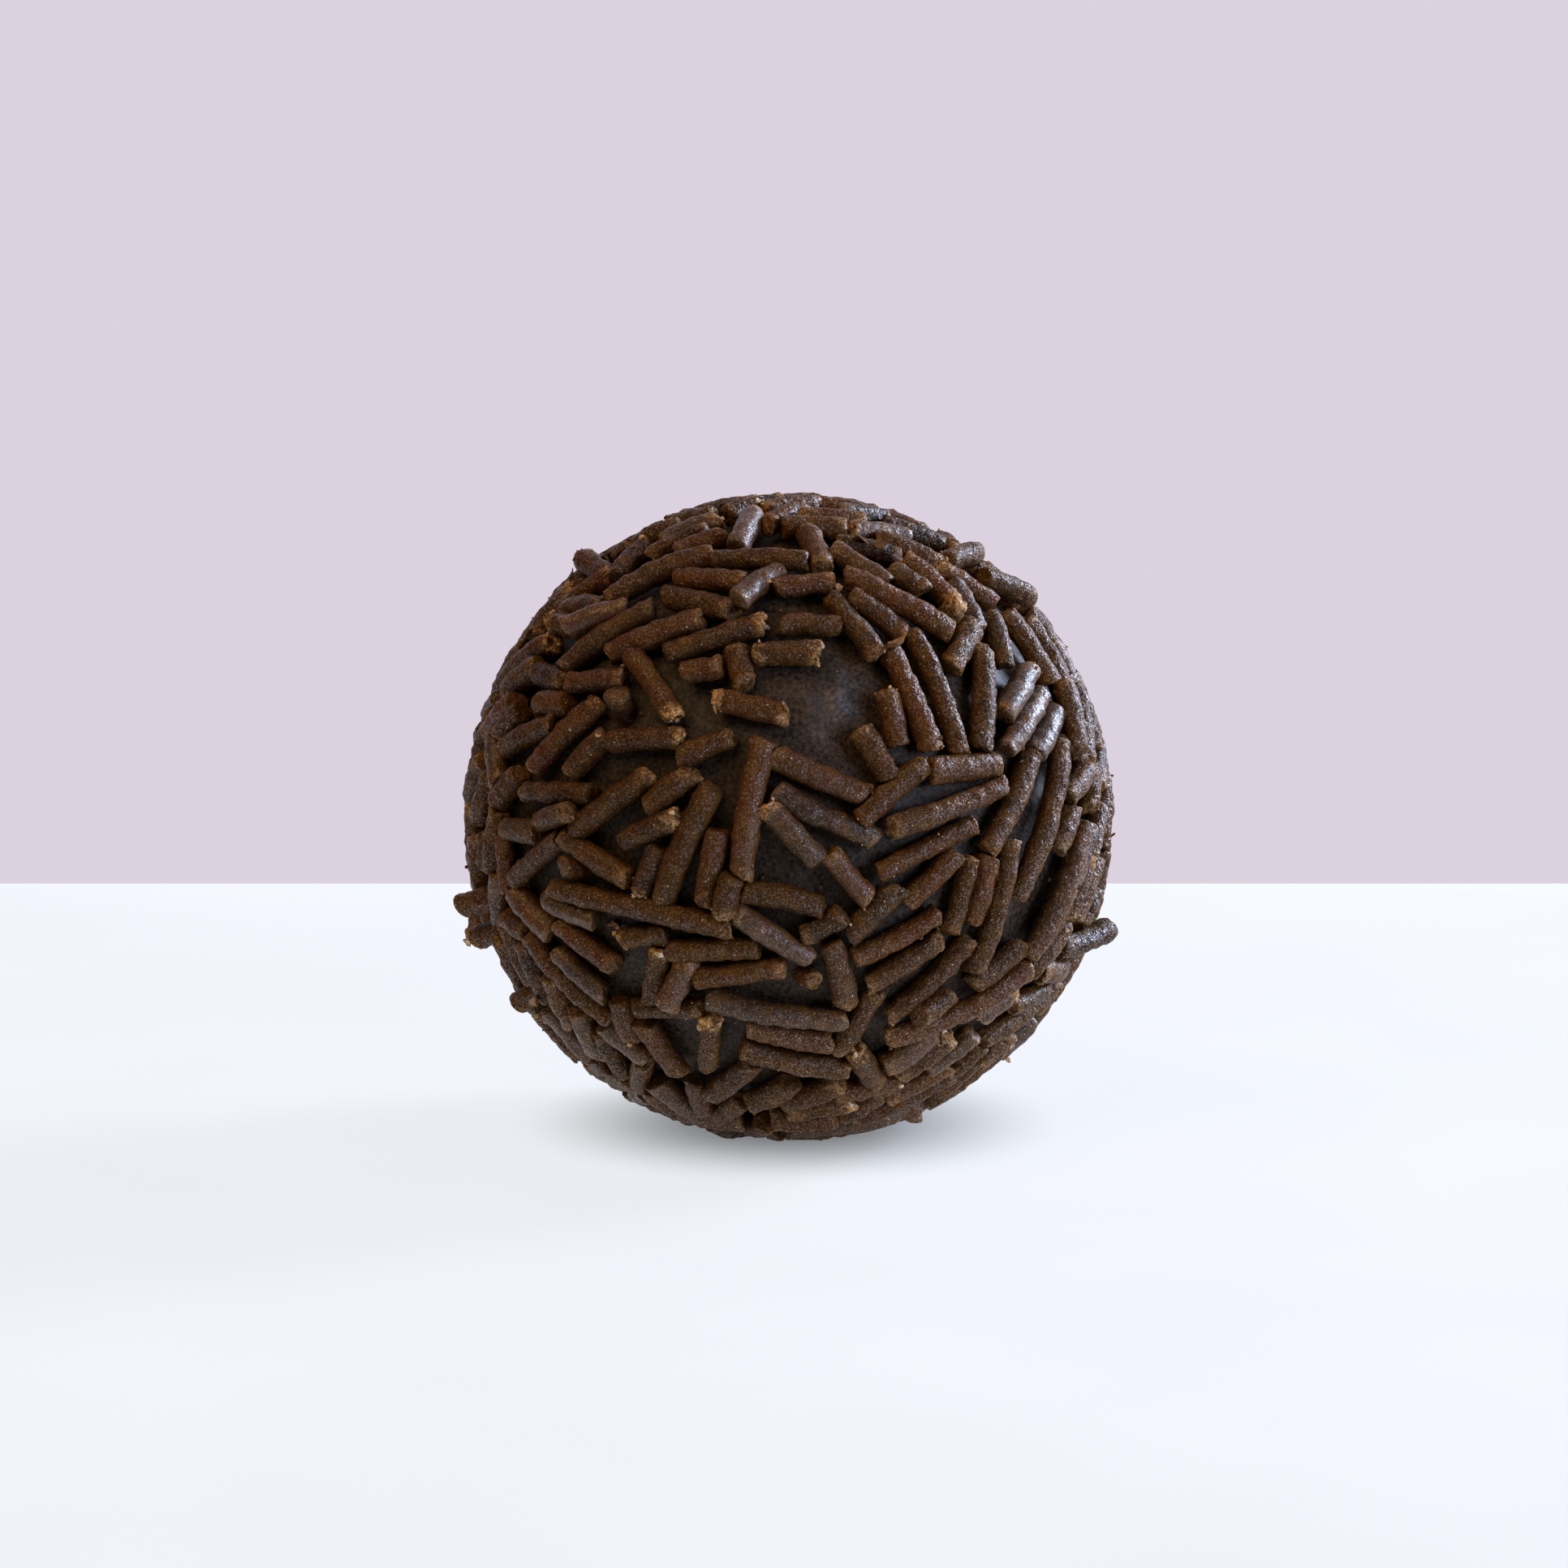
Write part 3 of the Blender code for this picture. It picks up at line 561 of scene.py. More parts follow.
def front_place(across, up):
    """The direction from the centre to a place on the front half."""
    side, top, outward = front_axes()
    depth = math.sqrt(max(0.0, 1.0 - across * across - up * up))
    return unit(across * side + up * top + depth * outward)


def front_heading(place, degrees):
    """The direction along the ball that looks like this heading from the front."""
    side, top, outward = front_axes()
    angle = math.radians(degrees)
    seen = math.cos(angle) * side + math.sin(angle) * top
    depth = max(float(place @ outward), LEAST_DEPTH)
    lean = -float(seen @ place) / depth
    tangent = seen + lean * outward
    tangent = tangent - place * float(tangent @ place)
    return unit(tangent)


def even_places(count):
    """Directions spread evenly over the whole ball."""
    index = np.arange(count) + 0.5
    height = 1.0 - 2.0 * index / count
    ring = np.sqrt(1.0 - height * height)
    turn = index * math.pi * (3.0 - math.sqrt(5.0))
    return np.stack([ring * np.cos(turn), ring * np.sin(turn), height], axis=1)


def dots(one, two):
    return np.sum(one * two, axis=1)


def flattened(ways, places):
    """The ways without what points away from the ball at these places."""
    return ways - places * dots(ways, places)[:, None]


def lie_of_strands(rng):
    """Places with the direction that the strands follow round them."""
    zones = [row[:3] for row in LYING.values()] + list(LIE_ELSEWHERE.values())
    places = [front_place(across, up) for across, up, _ in zones]
    headings = [front_heading(place, zone[2]) for place, zone in zip(places, zones)]
    outward = front_axes()[2]
    around = even_places(2 * LIE_AROUND_BACK)
    around = around[around @ outward < BEHIND]
    places = np.vstack([np.array(places), around])
    loose = unit(flattened(rng.normal(size=around.shape), around))
    headings = np.vstack([np.array(headings), loose])
    return places, headings


def lie_at(points, lie):
    """The direction of lie at each point, blended from the places round it."""
    places, headings = lie
    apart = np.arccos(np.clip(points @ places.T, -1.0, 1.0))
    weight = np.exp(-((apart / LIE_REACH) ** 2)) + NO_WEIGHT
    spread = np.einsum("pk,ki,kj->pij", weight, headings, headings)
    flat = np.eye(3) - points[:, :, None] * points[:, None, :]
    spread = flat @ spread @ flat
    return unit(flattened(np.linalg.eigh(spread)[1][:, :, 2], points))


def bare_places(rng):
    """Centres and reach, in radians, of the places with few strands."""
    centres = [front_place(bare[0], bare[1]) for bare in BARE_PLACES.values()]
    reach = [bare[2] for bare in BARE_PLACES.values()]
    outward = front_axes()[2]
    around = unit(rng.normal(size=(4 * BARE_AROUND_BACK, 3)))
    around = around[around @ outward < BEHIND][:BARE_AROUND_BACK]
    centres = np.vstack([np.array(centres), around])
    reach = np.concatenate([reach, rng.uniform(*BARE_AT_BACK, len(around))])
    return centres, reach


def turned(along, places, angles):
    side = np.cross(places, along)
    return np.cos(angles)[:, None] * along + np.sin(angles)[:, None] * side


def drawn_lengths(count, rng):
    shares = np.array([kind[0] for kind in LENGTH_KINDS])
    picks = rng.choice(len(LENGTH_KINDS), size=count, p=shares / shares.sum())
    low = np.array([kind[1] for kind in LENGTH_KINDS])[picks]
    high = np.array([kind[2] for kind in LENGTH_KINDS])[picks]
    return low + (high - low) * rng.random(count)


def named_strands():
    """Place, direction, length, lift and pitch of the strands known one by one."""
    rows = []
    for across, up, heading, length, lift, *pitch in [*LYING.values(), *STANDING.values()]:
        place = front_place(across, up)
        along = front_heading(place, heading)
        rows.append((place, along, length * MM, lift * MM, math.radians(sum(pitch))))
    return rows


def places_left(named):
    """Even places over the ball, less those that the named strands take up."""
    places = even_places(STRAND_COUNT)
    free = np.ones(STRAND_COUNT, bool)
    for place, _, length, _, _ in named:
        nearness = np.where(free, places @ place, -np.inf)
        near = np.argsort(-nearness, kind="stable")
        free[near[: max(1, int(round(length / MEAN_LENGTH)))]] = False
    return places[free]


def draw_strands(lie, rng):
    """All strands before they settle: the named ones, then the drawn ones."""
    named = named_strands()
    places = places_left(named)
    count = len(places)
    places = unit(places + rng.normal(scale=PLACE_SPREAD, size=places.shape))
    along = turned(lie_at(places, lie), places, rng.normal(scale=TURN_SPREAD, size=count))
    named_places = np.array([row[0] for row in named])
    apart = (places @ named_places.T).max(axis=1) < math.cos(UPPER_KEEPS_OFF)
    upper = (rng.random(count) < UPPER_SHARE) & apart
    steep = (rng.random(count) < STEEP_SHARE) & apart
    length = drawn_lengths(count, rng)
    length = np.where(apart, length, np.minimum(length, LONGEST_AMONG_NAMED))
    length = np.where(upper, np.minimum(length, UPPER_LENGTH), length)
    length = np.where(steep, np.minimum(length, STEEP_LENGTH), length)
    pitch = np.where(steep, rng.choice([-1.0, 1.0], size=count) * STEEP_PITCH, 0.0)
    lift = np.where(upper, MOST_LIFT, rng.random(count) * LOW_LIFT)
    lift = np.where(steep, STEEP_LIFT, lift)
    total = count + len(named)
    spreads = np.clip(rng.normal(size=total), -MOST_SPREADS, MOST_SPREADS)
    drawn = {"place": places, "along": along, "length": length, "lift": lift, "pitch": pitch}
    strands = {
        name: np.concatenate([[row[column] for row in named], values])
        for column, (name, values) in enumerate(drawn.items())
    }
    strands["width"] = STRAND_WIDTH * (1.0 + WIDTH_SPREAD * spreads)
    strands["held"] = np.arange(total) < len(named)
    strands["steep"] = np.concatenate([np.zeros(len(named), bool), steep])
    return strands


def axis_points(strands, owner, offset):
    """Points on the strands' axes, their outward directions and the way along."""
    place, along = strands["place"][owner], strands["along"][owner]
    pitch = strands["pitch"][owner]
    angle = (offset * np.cos(pitch) / SEAT_RADIUS)[:, None]
    outward = np.cos(angle) * place + np.sin(angle) * along
    way = np.cos(angle) * along - np.sin(angle) * place
    height = SEAT_RADIUS + strands["lift"][owner] + offset * np.sin(pitch)
    return outward * height[:, None], outward, way


def beads(strands):
    """Each strand as a row of beads: the strand each belongs to and its place along."""
    owner, offset = [], []
    for index, (length, width) in enumerate(zip(strands["length"], strands["width"])):
        half = 0.5 * (length - width)
        count = max(2, int(round(2.0 * half / BEAD_SPACING)) + 1)
        owner += [index] * count
        offset += list(np.linspace(-half, half, count))
    return np.array(owner), np.array(offset)


def close_pairs(points, owner):
    """Pairs of beads of different strands that are near enough to touch soon."""
    first, second = [], []
    order = np.arange(len(points))
    for start in range(0, len(points), PAIR_BLOCK):
        block = slice(start, start + PAIR_BLOCK)
        gap = points[block, None, :] - points[None, :, :]
        near = (gap * gap).sum(axis=2) < PAIR_REACH * PAIR_REACH
        near &= owner[block, None] != owner[None, :]
        near &= order[block, None] < order[None, :]
        one, two = np.nonzero(near)
        first.append(one + start)
        second.append(two)
    return np.concatenate(first), np.concatenate(second)


def summed(values, owner, count):
    if values.ndim == 1:
        return np.bincount(owner, weights=values, minlength=count)
    return np.stack([np.bincount(owner, weights=v, minlength=count) for v in values.T], axis=1)


def bead_pushes(points, owner, pairs, radius):
    """How far neighbours that overlap push each bead."""
    one, two = pairs
    gap = points[one] - points[two]
    apart = np.maximum(np.linalg.norm(gap, axis=1), NO_LENGTH)
    wanted = (radius[owner[one]] + radius[owner[two]]) * CLOSENESS
    push = gap / apart[:, None] * (np.maximum(wanted - apart, 0.0) * 0.5)[:, None]
    return summed(push, one, len(points)) - summed(push, two, len(points))


def bare_pushes(outward, bare, radius):
    """How far the bare places push each bead along the ball."""
    centres, reach = bare
    total = np.zeros_like(outward)
    for centre, wide in zip(centres, reach):
        away = outward - centre * (outward @ centre)[:, None]
        length = np.maximum(np.linalg.norm(away, axis=1), NO_LENGTH)
        inside = np.maximum(wide * SEAT_RADIUS + radius - length * SEAT_RADIUS, 0.0)
        inside = np.where(outward @ centre > SAME_SIDE, inside, 0.0)
        total += away / length[:, None] * (0.5 * inside)[:, None]
    return total


def slid(strands, owner, offset, push, loose, homing):
    """The places and directions once the pushes have slid and turned the strands."""
    count = len(strands["place"])
    _, outward, way = axis_points(strands, owner, offset)
    per_strand = np.bincount(owner, minlength=count)
    arm = np.maximum(summed(offset * offset, owner, count), TINY)
    sideways = dots(push, np.cross(outward, way))
    shifts = []
    for pushed in (sideways, dots(push, way)):
        by = summed(pushed, owner, count) / per_strand * LOOSENESS
        shifts.append((np.clip(by, -MOST_SHIFT, MOST_SHIFT) * loose)[:, None])
    turn = summed(sideways * offset, owner, count) / arm * TURN_GAIN
    turn = np.clip(turn + homing, -MOST_TURN, MOST_TURN) * loose
    place, along = strands["place"], strands["along"]
    shift = np.cross(place, along) * shifts[0] + along * shifts[1]
    along = turned(along, place, turn)
    place = unit(place + shift / SEAT_RADIUS)
    return np.round(place, DIGITS), np.round(unit(flattened(along, place)), DIGITS)


def way_home(strands, lie):
    """How far each strand turns back towards the lie of those round it in one step."""
    lie_now = lie_at(strands["place"], lie)
    side = np.cross(strands["place"], strands["along"])
    return HEADING_HOLD * (dots(lie_now, side) * dots(lie_now, strands["along"]))


def raised(strands, owner, offset, push):
    """The lifts and pitches once the pushes have raised or tipped the strands."""
    count = len(strands["place"])
    _, outward, _ = axis_points(strands, owner, offset)
    per_strand = np.bincount(owner, minlength=count)
    arm = np.maximum(summed(offset * offset, owner, count), TINY)
    lifting = dots(push, outward)
    lift = strands["lift"] + summed(lifting, owner, count) / per_strand * LIFT_GAIN - PULL_IN
    tip = summed(lifting * offset, owner, count) / arm * TURN_GAIN
    pitch = np.clip((strands["pitch"] + tip) * PITCH_KEPT, -MOST_PITCH, MOST_PITCH)
    lowest = np.abs(np.sin(pitch)) * 0.5 * strands["length"] - PRESSED_IN
    lift = np.clip(np.maximum(lift, lowest), 0.0, MOST_LIFT)
    return np.round(lift, DIGITS), np.round(pitch, DIGITS)


def ease_named(strands):
    """Slides the named strands out of one another."""
    named = {name: values[strands["held"]] for name, values in strands.items()}
    owner, offset = beads(named)
    for _ in range(EASE_STEPS):
        points = axis_points(named, owner, offset)[0]
        push = bead_pushes(points, owner, close_pairs(points, owner), 0.5 * named["width"])
        named["place"], named["along"] = slid(named, owner, offset, push, EASE_SHARE, 0.0)
    strands["place"][strands["held"]] = named["place"]
    strands["along"][strands["held"]] = named["along"]


def settle(strands, lie, bare):
    """Lets the strands push one another aside or ride up, and lie down on the core."""
    owner, offset = beads(strands)
    radius = 0.5 * strands["width"]
    loose = ~strands["held"]
    free = loose & ~strands["steep"]
    for step in range(SETTLE_STEPS):
        points, outward, _ = axis_points(strands, owner, offset)
        if step % PAIR_REFRESH == 0:
            pairs = close_pairs(points, owner)
        push = bead_pushes(points, owner, pairs, radius)
        push += bare_pushes(outward, bare, radius[owner])
        lift, pitch = raised(strands, owner, offset, push)
        homing = way_home(strands, lie)
        place, along = slid(strands, owner, offset, push, loose, homing)
        strands["place"], strands["along"] = place, along
        strands["lift"] = np.where(free, lift, strands["lift"])
        strands["pitch"] = np.where(free, pitch, strands["pitch"])
    return owner, offset


def uncrowded(strands, owner, offset):
    """Marks the strands to keep: of two in one place, or one over a named one, one goes."""
    points, outward, _ = axis_points(strands, owner, offset)
    one, two = close_pairs(points, owner)
    apart = np.linalg.norm(points[one] - points[two], axis=1)
    over = np.linalg.norm(outward[one] - outward[two], axis=1) * SEAT_RADIUS
    by_named = strands["held"][owner[one]] != strands["held"][owner[two]]
    deep = apart < CROWDED * STRAND_WIDTH
    deep |= by_named & (over < CROWDED_BY_NAMED * STRAND_WIDTH)
    kept = np.ones(len(strands["place"]), bool)
    rank = strands["length"] + strands["held"]
    for a, b in sorted(set(zip(owner[one[deep]], owner[two[deep]]))):
        if kept[a] and kept[b]:
            kept[a if rank[a] < rank[b] else b] = False
    return kept


@functools.cache
def vermicelli():
    """The settled strands of the whole truffle."""
    rng = np.random.default_rng(SEED)
    lie = lie_of_strands(rng)
    bare = bare_places(rng)
    strands = draw_strands(lie, rng)
    ease_named(strands)
    owner, offset = settle(strands, lie, bare)
    kept = uncrowded(strands, owner, offset)
    return {name: values[kept] for name, values in strands.items()}


# Relief and meshes


def eased(part):
    """From 0 to 1 with a soft start and a soft end."""
    return part * part * (3.0 - 2.0 * part)


def lumpy(points, size, seed):
    """Smooth noise from -1 to 1 at each point, with lumps of about this size."""
    scaled = points / size
    cell = np.floor(scaled).astype(np.int64)
    part = eased(scaled - cell)
    total = np.zeros(len(points))
    for corner in itertools.product((0, 1), repeat=3):
        at = (cell + np.array(corner)) * np.array(MIXERS)
        mixed = (at[:, 0] ^ at[:, 1] ^ at[:, 2] ^ (seed * SEED_MIXER)) & MIXED_BITS
        for shift, mixer in STIRRERS:
            mixed = ((mixed ^ (mixed >> shift)) * mixer) & MIXED_BITS
        # Sixteen of its bits, as a number from -1 to 1
        value = ((mixed >> 8) & 0xFFFF) / 32767.5 - 1.0
        weight = np.prod(np.where(np.array(corner) == 1, part, 1.0 - part), axis=1)
        total += weight * value
    return total


def icosphere(fineness):
    """Corners and faces of a ball of even triangles, one metre in radius."""
    ball = bmesh.new()
    bmesh.ops.create_icosphere(ball, subdivisions=fineness, radius=1.0)
    corners = np.array([corner.co for corner in ball.verts])
    faces = [[corner.index for corner in face.verts] for face in ball.faces]
    ball.free()
    return corners, faces


def on_floor(corners):
    """Corners given from the ball's centre, moved to their place and none below the floor."""
    placed = corners + ball_centre()
    placed[:, 2] = np.maximum(placed[:, 2], 0.0)
    return placed


def mesh_object(name, corners, faces, smooth):
    mesh = bpy.data.meshes.new(name)
    mesh.from_pydata(corners.tolist(), [], faces)
    mesh.polygons.foreach_set("use_smooth", np.full(len(mesh.polygons), smooth))
    mesh.update()
    piece = bpy.data.objects.new(name, mesh)
    bpy.context.scene.collection.objects.link(piece)
    return piece


def keep_values(piece, name, values):
    """Stores one number for each corner of the mesh, for its material to read."""
    kept = piece.data.attributes.new(name, "FLOAT", "POINT")
    kept.data.foreach_set("value", np.asarray(values, np.float32))


def kept_values(piece, name):
    """Values kept on the piece's corners, or zeros."""
    values = np.zeros(len(piece.data.vertices))
    if name in piece.data.attributes:
        piece.data.attributes[name].data.foreach_get("value", values)
    return values


def open_share(directions):
    """From 0 beside a strand to 1 in the open, for directions from the ball's centre."""
    strands = vermicelli()
    seats = axis_points(strands, *beads(strands))[1] * SEAT_RADIUS
    tree = kdtree.KDTree(len(seats))
    for index, seat in enumerate(seats):
        tree.insert(seat, index)
    tree.balance()
    apart = np.array([tree.find(place)[2] for place in directions * SEAT_RADIUS])
    # Where this is low, beside the strands, the core's material paints shade
    return eased(np.clip((apart - OPEN_FROM) / (OPEN_TO - OPEN_FROM), 0.0, 1.0))


def ball_centre():
    return np.array([0.0, 0.0, CENTRE_HEIGHT])


# The strands' shape


def body_rings(lengths):
    """Rings along a strand's body: as close as wanted, or as the triangles allow."""
    wanted = int(np.percentile(lengths, USUAL_LENGTH) / RING_SPACING)
    allowed = int(MOST_TRIANGLES / len(lengths) / (2 * SIDES)) - END_RINGS
    return min(wanted, allowed)


def strand_rings(half, width, edge, count):
    """How far along the strand each ring lies, and its reach in strand radii."""
    rim = edge * width
    tail = np.stack([-half, -half, -half + RIM_DEPTH * rim], axis=1)
    start, end = (-half + rim)[:, None], (half - rim)[:, None]
    body = start + (end - start) * np.linspace(0.0, 1.0, count)[None, :]
    along = np.concatenate([tail, body, -tail[:, ::-1]], axis=1)
    face = 1.0 - 2.0 * edge
    reach = [FACE_RING * face, face, 1.0 - RIM_IN * (2.0 * edge)]
    reach = np.array(reach + [1.0] * count + reach[::-1])
    return along, np.broadcast_to(reach, along.shape)


def strand_looks(strands, settings, rng):
    """What makes each strand differ: bend, slant, broken ends and colour."""
    held, lengths = strands["held"], strands["length"]
    count = len(lengths)
    pale = rng.random((count, 2)) < settings.broken
    broken = np.where(pale, rng.uniform(*PALE_END, (count, 2)), 0.0)
    broken[held] = 0.0
    broken = np.maximum(broken, rng.uniform(0.0, settings.worn, (count, 2)))
    tone, bloom = rng.random(count), rng.random(count)
    bloom[held] *= PLAIN_NAMED
    for name, (place, *_) in zip([*LYING, *STANDING], named_strands()):
        found = np.argmax(np.where(held, strands["place"] @ place, -1.0))
        broken[found] = BROKEN_ENDS.get(name, broken[found])
        tone[found], bloom[found] = NAMED_LOOKS.get(name, (tone[found], bloom[found]))
    bend = rng.normal(scale=1.0 / BEND_RADIUS, size=count) * lengths**2 / 8.0
    kinked = (rng.random(count) < KINKED) & (lengths > KINKED_FROM)
    kink = rng.choice([-1.0, 1.0], count) * rng.uniform(*KINK, count)
    return {
        "broken": broken,
        "bend": np.clip(bend, -MOST_BEND, MOST_BEND),
        "kink": np.where(kinked, kink, 0.0),
        "kink_at": rng.uniform(-KINK_PLACE, KINK_PLACE, count) * lengths,
        "slant": rng.uniform(-1.0, 1.0, (count, 2, 2)) * settings.slant,
        "squeezed": rng.normal(scale=SQUEEZED, size=count),
        "tone": tone,
        "bloom": bloom,
    }


def bent_axes(strands, looks, owner, along, half):
    """Points on the bent axes of the strands, and which way is sideways, up and along."""
    points, outward, way = axis_points(strands, owner, along)
    pitch = strands["pitch"][owner][:, None]
    way = np.cos(pitch) * way + np.sin(pitch) * outward
    side = unit(np.cross(outward, way))
    part = along / half
    sway = looks["bend"][owner] * (part * part - MEAN_BEND)
    past = np.maximum(along - looks["kink_at"][owner], 0.0)
    sway += looks["kink"][owner] * (past - MEAN_KINK * half)
    return points + side * sway[:, None], side, np.cross(way, side), way


def spokes(side, top, across, high):
    """Ways from an axis to the corners of its rings."""
    return across[:, :, None] * side[:, None, :] + high[:, :, None] * top[:, None, :]


def ring_lumps(corners, drift, size, seed):
    return lumpy(corners.reshape(-1, 3) + drift, size, seed).reshape(-1, SIDES)


def strand_corners(strands, looks, chosen, rings, settings):
    """Corners of the chosen strands, in rings round their axes, and how broken each is."""
    half, width = 0.5 * strands["length"][chosen], strands["width"][chosen]
    along, reach = strand_rings(half, width, settings.edge, rings)
    total = along.shape[1]
    owner, half, width = (np.repeat(values, total) for values in (chosen, half, width))
    along, reach = along.ravel(), reach.ravel()
    centre, side, top, way = bent_axes(strands, looks, owner, along, half)

    angles = 2.0 * math.pi * (np.arange(SIDES) + 0.5) / SIDES
    cosine, sine = np.cos(angles)[None, :], np.sin(angles)[None, :]
    radius = (reach * 0.5 * width)[:, None]
    squeezed = looks["squeezed"][owner][:, None]
    across = cosine * radius * (1.0 + squeezed)
    high = sine * radius * (1.0 - squeezed)
    corners = centre[:, None, :] + spokes(side, top, across, high)
    drift = np.repeat(owner, SIDES)[:, None] * np.array([STRAND_DRIFT]) * MM

    # Only the corners near an end follow its slant and its raggedness.
    near_end = np.clip(1.0 - (half - np.abs(along)) / (END_REACH * width), 0.0, 1.0)
    at_head = (along > 0.0).astype(int)
    slant, broken = looks["slant"][owner, at_head], looks["broken"][owner, at_head]
    torn = ring_lumps(corners, drift, *TEAR)
    torn = torn + FINE_TEAR_SHARE * ring_lumps(corners, drift, *FINE_TEAR)
    ragged = (settings.ragged + (settings.torn - settings.ragged) * broken)[:, None]
    inward = -np.maximum(torn, -MOST_OUT) * ragged
    shift = across * slant[:, :1] + high * slant[:, 1:]
    shift = shift + inward * np.where(at_head[:, None] > 0, 1.0, -1.0)
    corners = corners + way[:, None, :] * (shift * near_end[:, None])[:, :, None]

    relief = settings.waves * width[:, None] * ring_lumps(corners, drift, *STRAND_WAVES)
    relief = relief + settings.lumps * ring_lumps(corners, drift, *STRAND_LUMPS)
    relief = relief + settings.grain * ring_lumps(corners, drift, *STRAND_GRAIN)
    relief = relief + np.minimum(torn, 0.0) * ragged * near_end[:, None] * RIM_EATEN
    relief = relief * (reach > ON_BODY)[:, None]
    corners = corners + spokes(side, top, cosine, sine) * relief[:, :, None]

    shown = np.clip(near_end * CRUMB_FADE[0] - CRUMB_FADE[1], 0.0, 1.0) * broken
    return corners, np.repeat(shown, SIDES), total


def strand_faces(count, total):
    """Faces of strands with this many rings each: their sides and both end faces."""
    edge = np.arange(SIDES)
    following = (edge + 1) % SIDES
    low = (np.arange(total - 1) * SIDES)[:, None]
    high = low + SIDES
    quads = np.stack([low + edge, low + following, high + following, high + edge], axis=2)
    last, tail, head = (total - 1) * SIDES, total * SIDES, total * SIDES + 1
    tails = np.stack([np.full(SIDES, tail), following, edge], axis=1)
    heads = np.stack([np.full(SIDES, head), last + edge, last + following], axis=1)
    start = (np.arange(count) * (head + 1))[:, None, None]
    sides = (start + quads.reshape(-1, 4)).reshape(-1, 4).tolist()
    return sides + (start + np.vstack([tails, heads])).reshape(-1, 3).tolist()


def add_strands(name, strands, looks, chosen, settings):
    """One kind of strand as one mesh."""
    rings = body_rings(strands["length"][chosen])
    corners, broken, total = strand_corners(strands, looks, chosen, rings, settings)
    count = len(chosen)
    corners = corners.reshape(count, -1, 3)
    tails = corners[:, :SIDES].mean(axis=1, keepdims=True)
    heads = corners[:, -SIDES:].mean(axis=1, keepdims=True)
    corners = np.concatenate([corners, tails, heads], axis=1)
    broken = np.concatenate([broken.reshape(count, -1), looks["broken"][chosen]], axis=1)
    placed = on_floor(corners.reshape(-1, 3))
    piece = mesh_object(name, placed, strand_faces(count, total), True)
    for look in ("tone", "bloom"):
        keep_values(piece, look, np.repeat(looks[look][chosen], corners.shape[1]))
    keep_values(piece, "broken", broken.ravel())
    return piece


# The crumbs' shape


def skin_of(piece):
    """Corners of a piece, the way out at each and how torn it is there, row by row."""
    rows = []
    for name in ("co", "normal"):
        values = np.zeros(3 * len(piece.data.vertices))
        piece.data.vertices.foreach_get(name, values)
        rows.append(values.reshape(-1, 3))
    return np.hstack(rows + [kept_values(piece, "broken")[:, None]])


def standing_places(skin):
    """The corner where each torn flake stands: the outermost one near its place."""
    from_centre = skin[:, :3] - ball_centre()
    height = np.linalg.norm(from_centre, axis=1)
    found = []
    for across, up, _ in TORN_FLAKES.values():
        apart = np.linalg.norm(from_centre / height[:, None] - front_place(across, up), axis=1)
        found.append(np.argmax(np.where(apart < FLAKE_REACH, height, 0.0)))
    return skin[found]


def crumb_seats(carriers, settings, rng):
    """Where the crumbs lie, the way out there and how torn it is, the torn flakes last."""
    skins = [skin_of(piece) for piece in carriers]
    seats = []
    for skin in skins:
        points, normals, torn = skin[:, :3], skin[:, 3:6], skin[:, 6]
        facing = dots(normals, unit(points - ball_centre()))
        seen = (facing > FACES_OUT) | ((torn > TORN_FROM) & (facing > FACES_SIDEWAYS))
        chance = (seen & (points[:, 2] > OFF_THE_FLOOR)) * (1.0 + settings.at_ends * torn)
        count = settings.count // len(carriers)
        seats.append(skin[rng.choice(len(skin), count, p=chance / chance.sum())])
    flakes = standing_places(np.vstack(skins))
    flakes[:, 6] = 0.0
    seats = np.vstack(seats + [flakes])
    return seats[:, :3], seats[:, 3:6], seats[:, 6]


def crumb_sizes(torn, settings, rng):
    """How wide each crumb is, how far its axes are stretched, and which ones are flakes."""
    count = len(torn)
    loose = count - len(TORN_FLAKES)
    spread = settings.largest - settings.smallest
    across = settings.smallest + spread * rng.random(count) ** MOSTLY_SMALL
    stretch = rng.uniform(*CRUMB_STRETCH, (count, 1, 3))
    flake = rng.random(count) < settings.flakes
    for these, sizes in ((flake, FLAKE_SIZES), (torn > PALE_FROM, END_CRUMB_SIZES)):
        across[these] = rng.uniform(*sizes, these.sum()) * settings.largest
    across[loose:] = [row[2] * MM for row in TORN_FLAKES.values()]
    flake[loose:] = True
    stretch[flake] = FLAKE
    return across, stretch, flake


def crumb_corners(shape, seats, outward, sizes, rng):
    """Corners of the crumbs, each chipped and turned in its own way."""
    across, stretch, flake = sizes
    count = len(seats)
    chipped = 1.0 + rng.uniform(-CRUMB_CHIPS, CRUMB_CHIPS, (count, len(shape), 1))
    tilt = rng.normal(scale=FLAKE_TILT, size=(count, 3))
    upright = unit(outward + flake[:, None] * tilt)
    other = unit(np.cross(unit(rng.normal(size=(count, 3))), upright))
    local = shape[None] * stretch * chipped * (0.5 * across)[:, None, None]
    local[flake, :, 2] += FOLD * np.maximum(local[flake, :, 0], 0.0)
    axes = np.stack([other, np.cross(upright, other), upright], axis=1)
    corners = np.einsum("nvk,nkc->nvc", local, axes) + seats[:, None, :]
    return corners + outward[:, None, :] * (CRUMB_RISE * across)[:, None, None]


# Materials


# Sockets of a map range
SPAN = ("From Min", "From Max", "To Min", "To Max")


def feed(tree, node, values, links):
    """Sets the values of a node's sockets and links what feeds the others."""
    for name, value in values.items():
        node.inputs[name].default_value = value
    for name, source in links.items():
        tree.links.new(source, node.inputs[name])


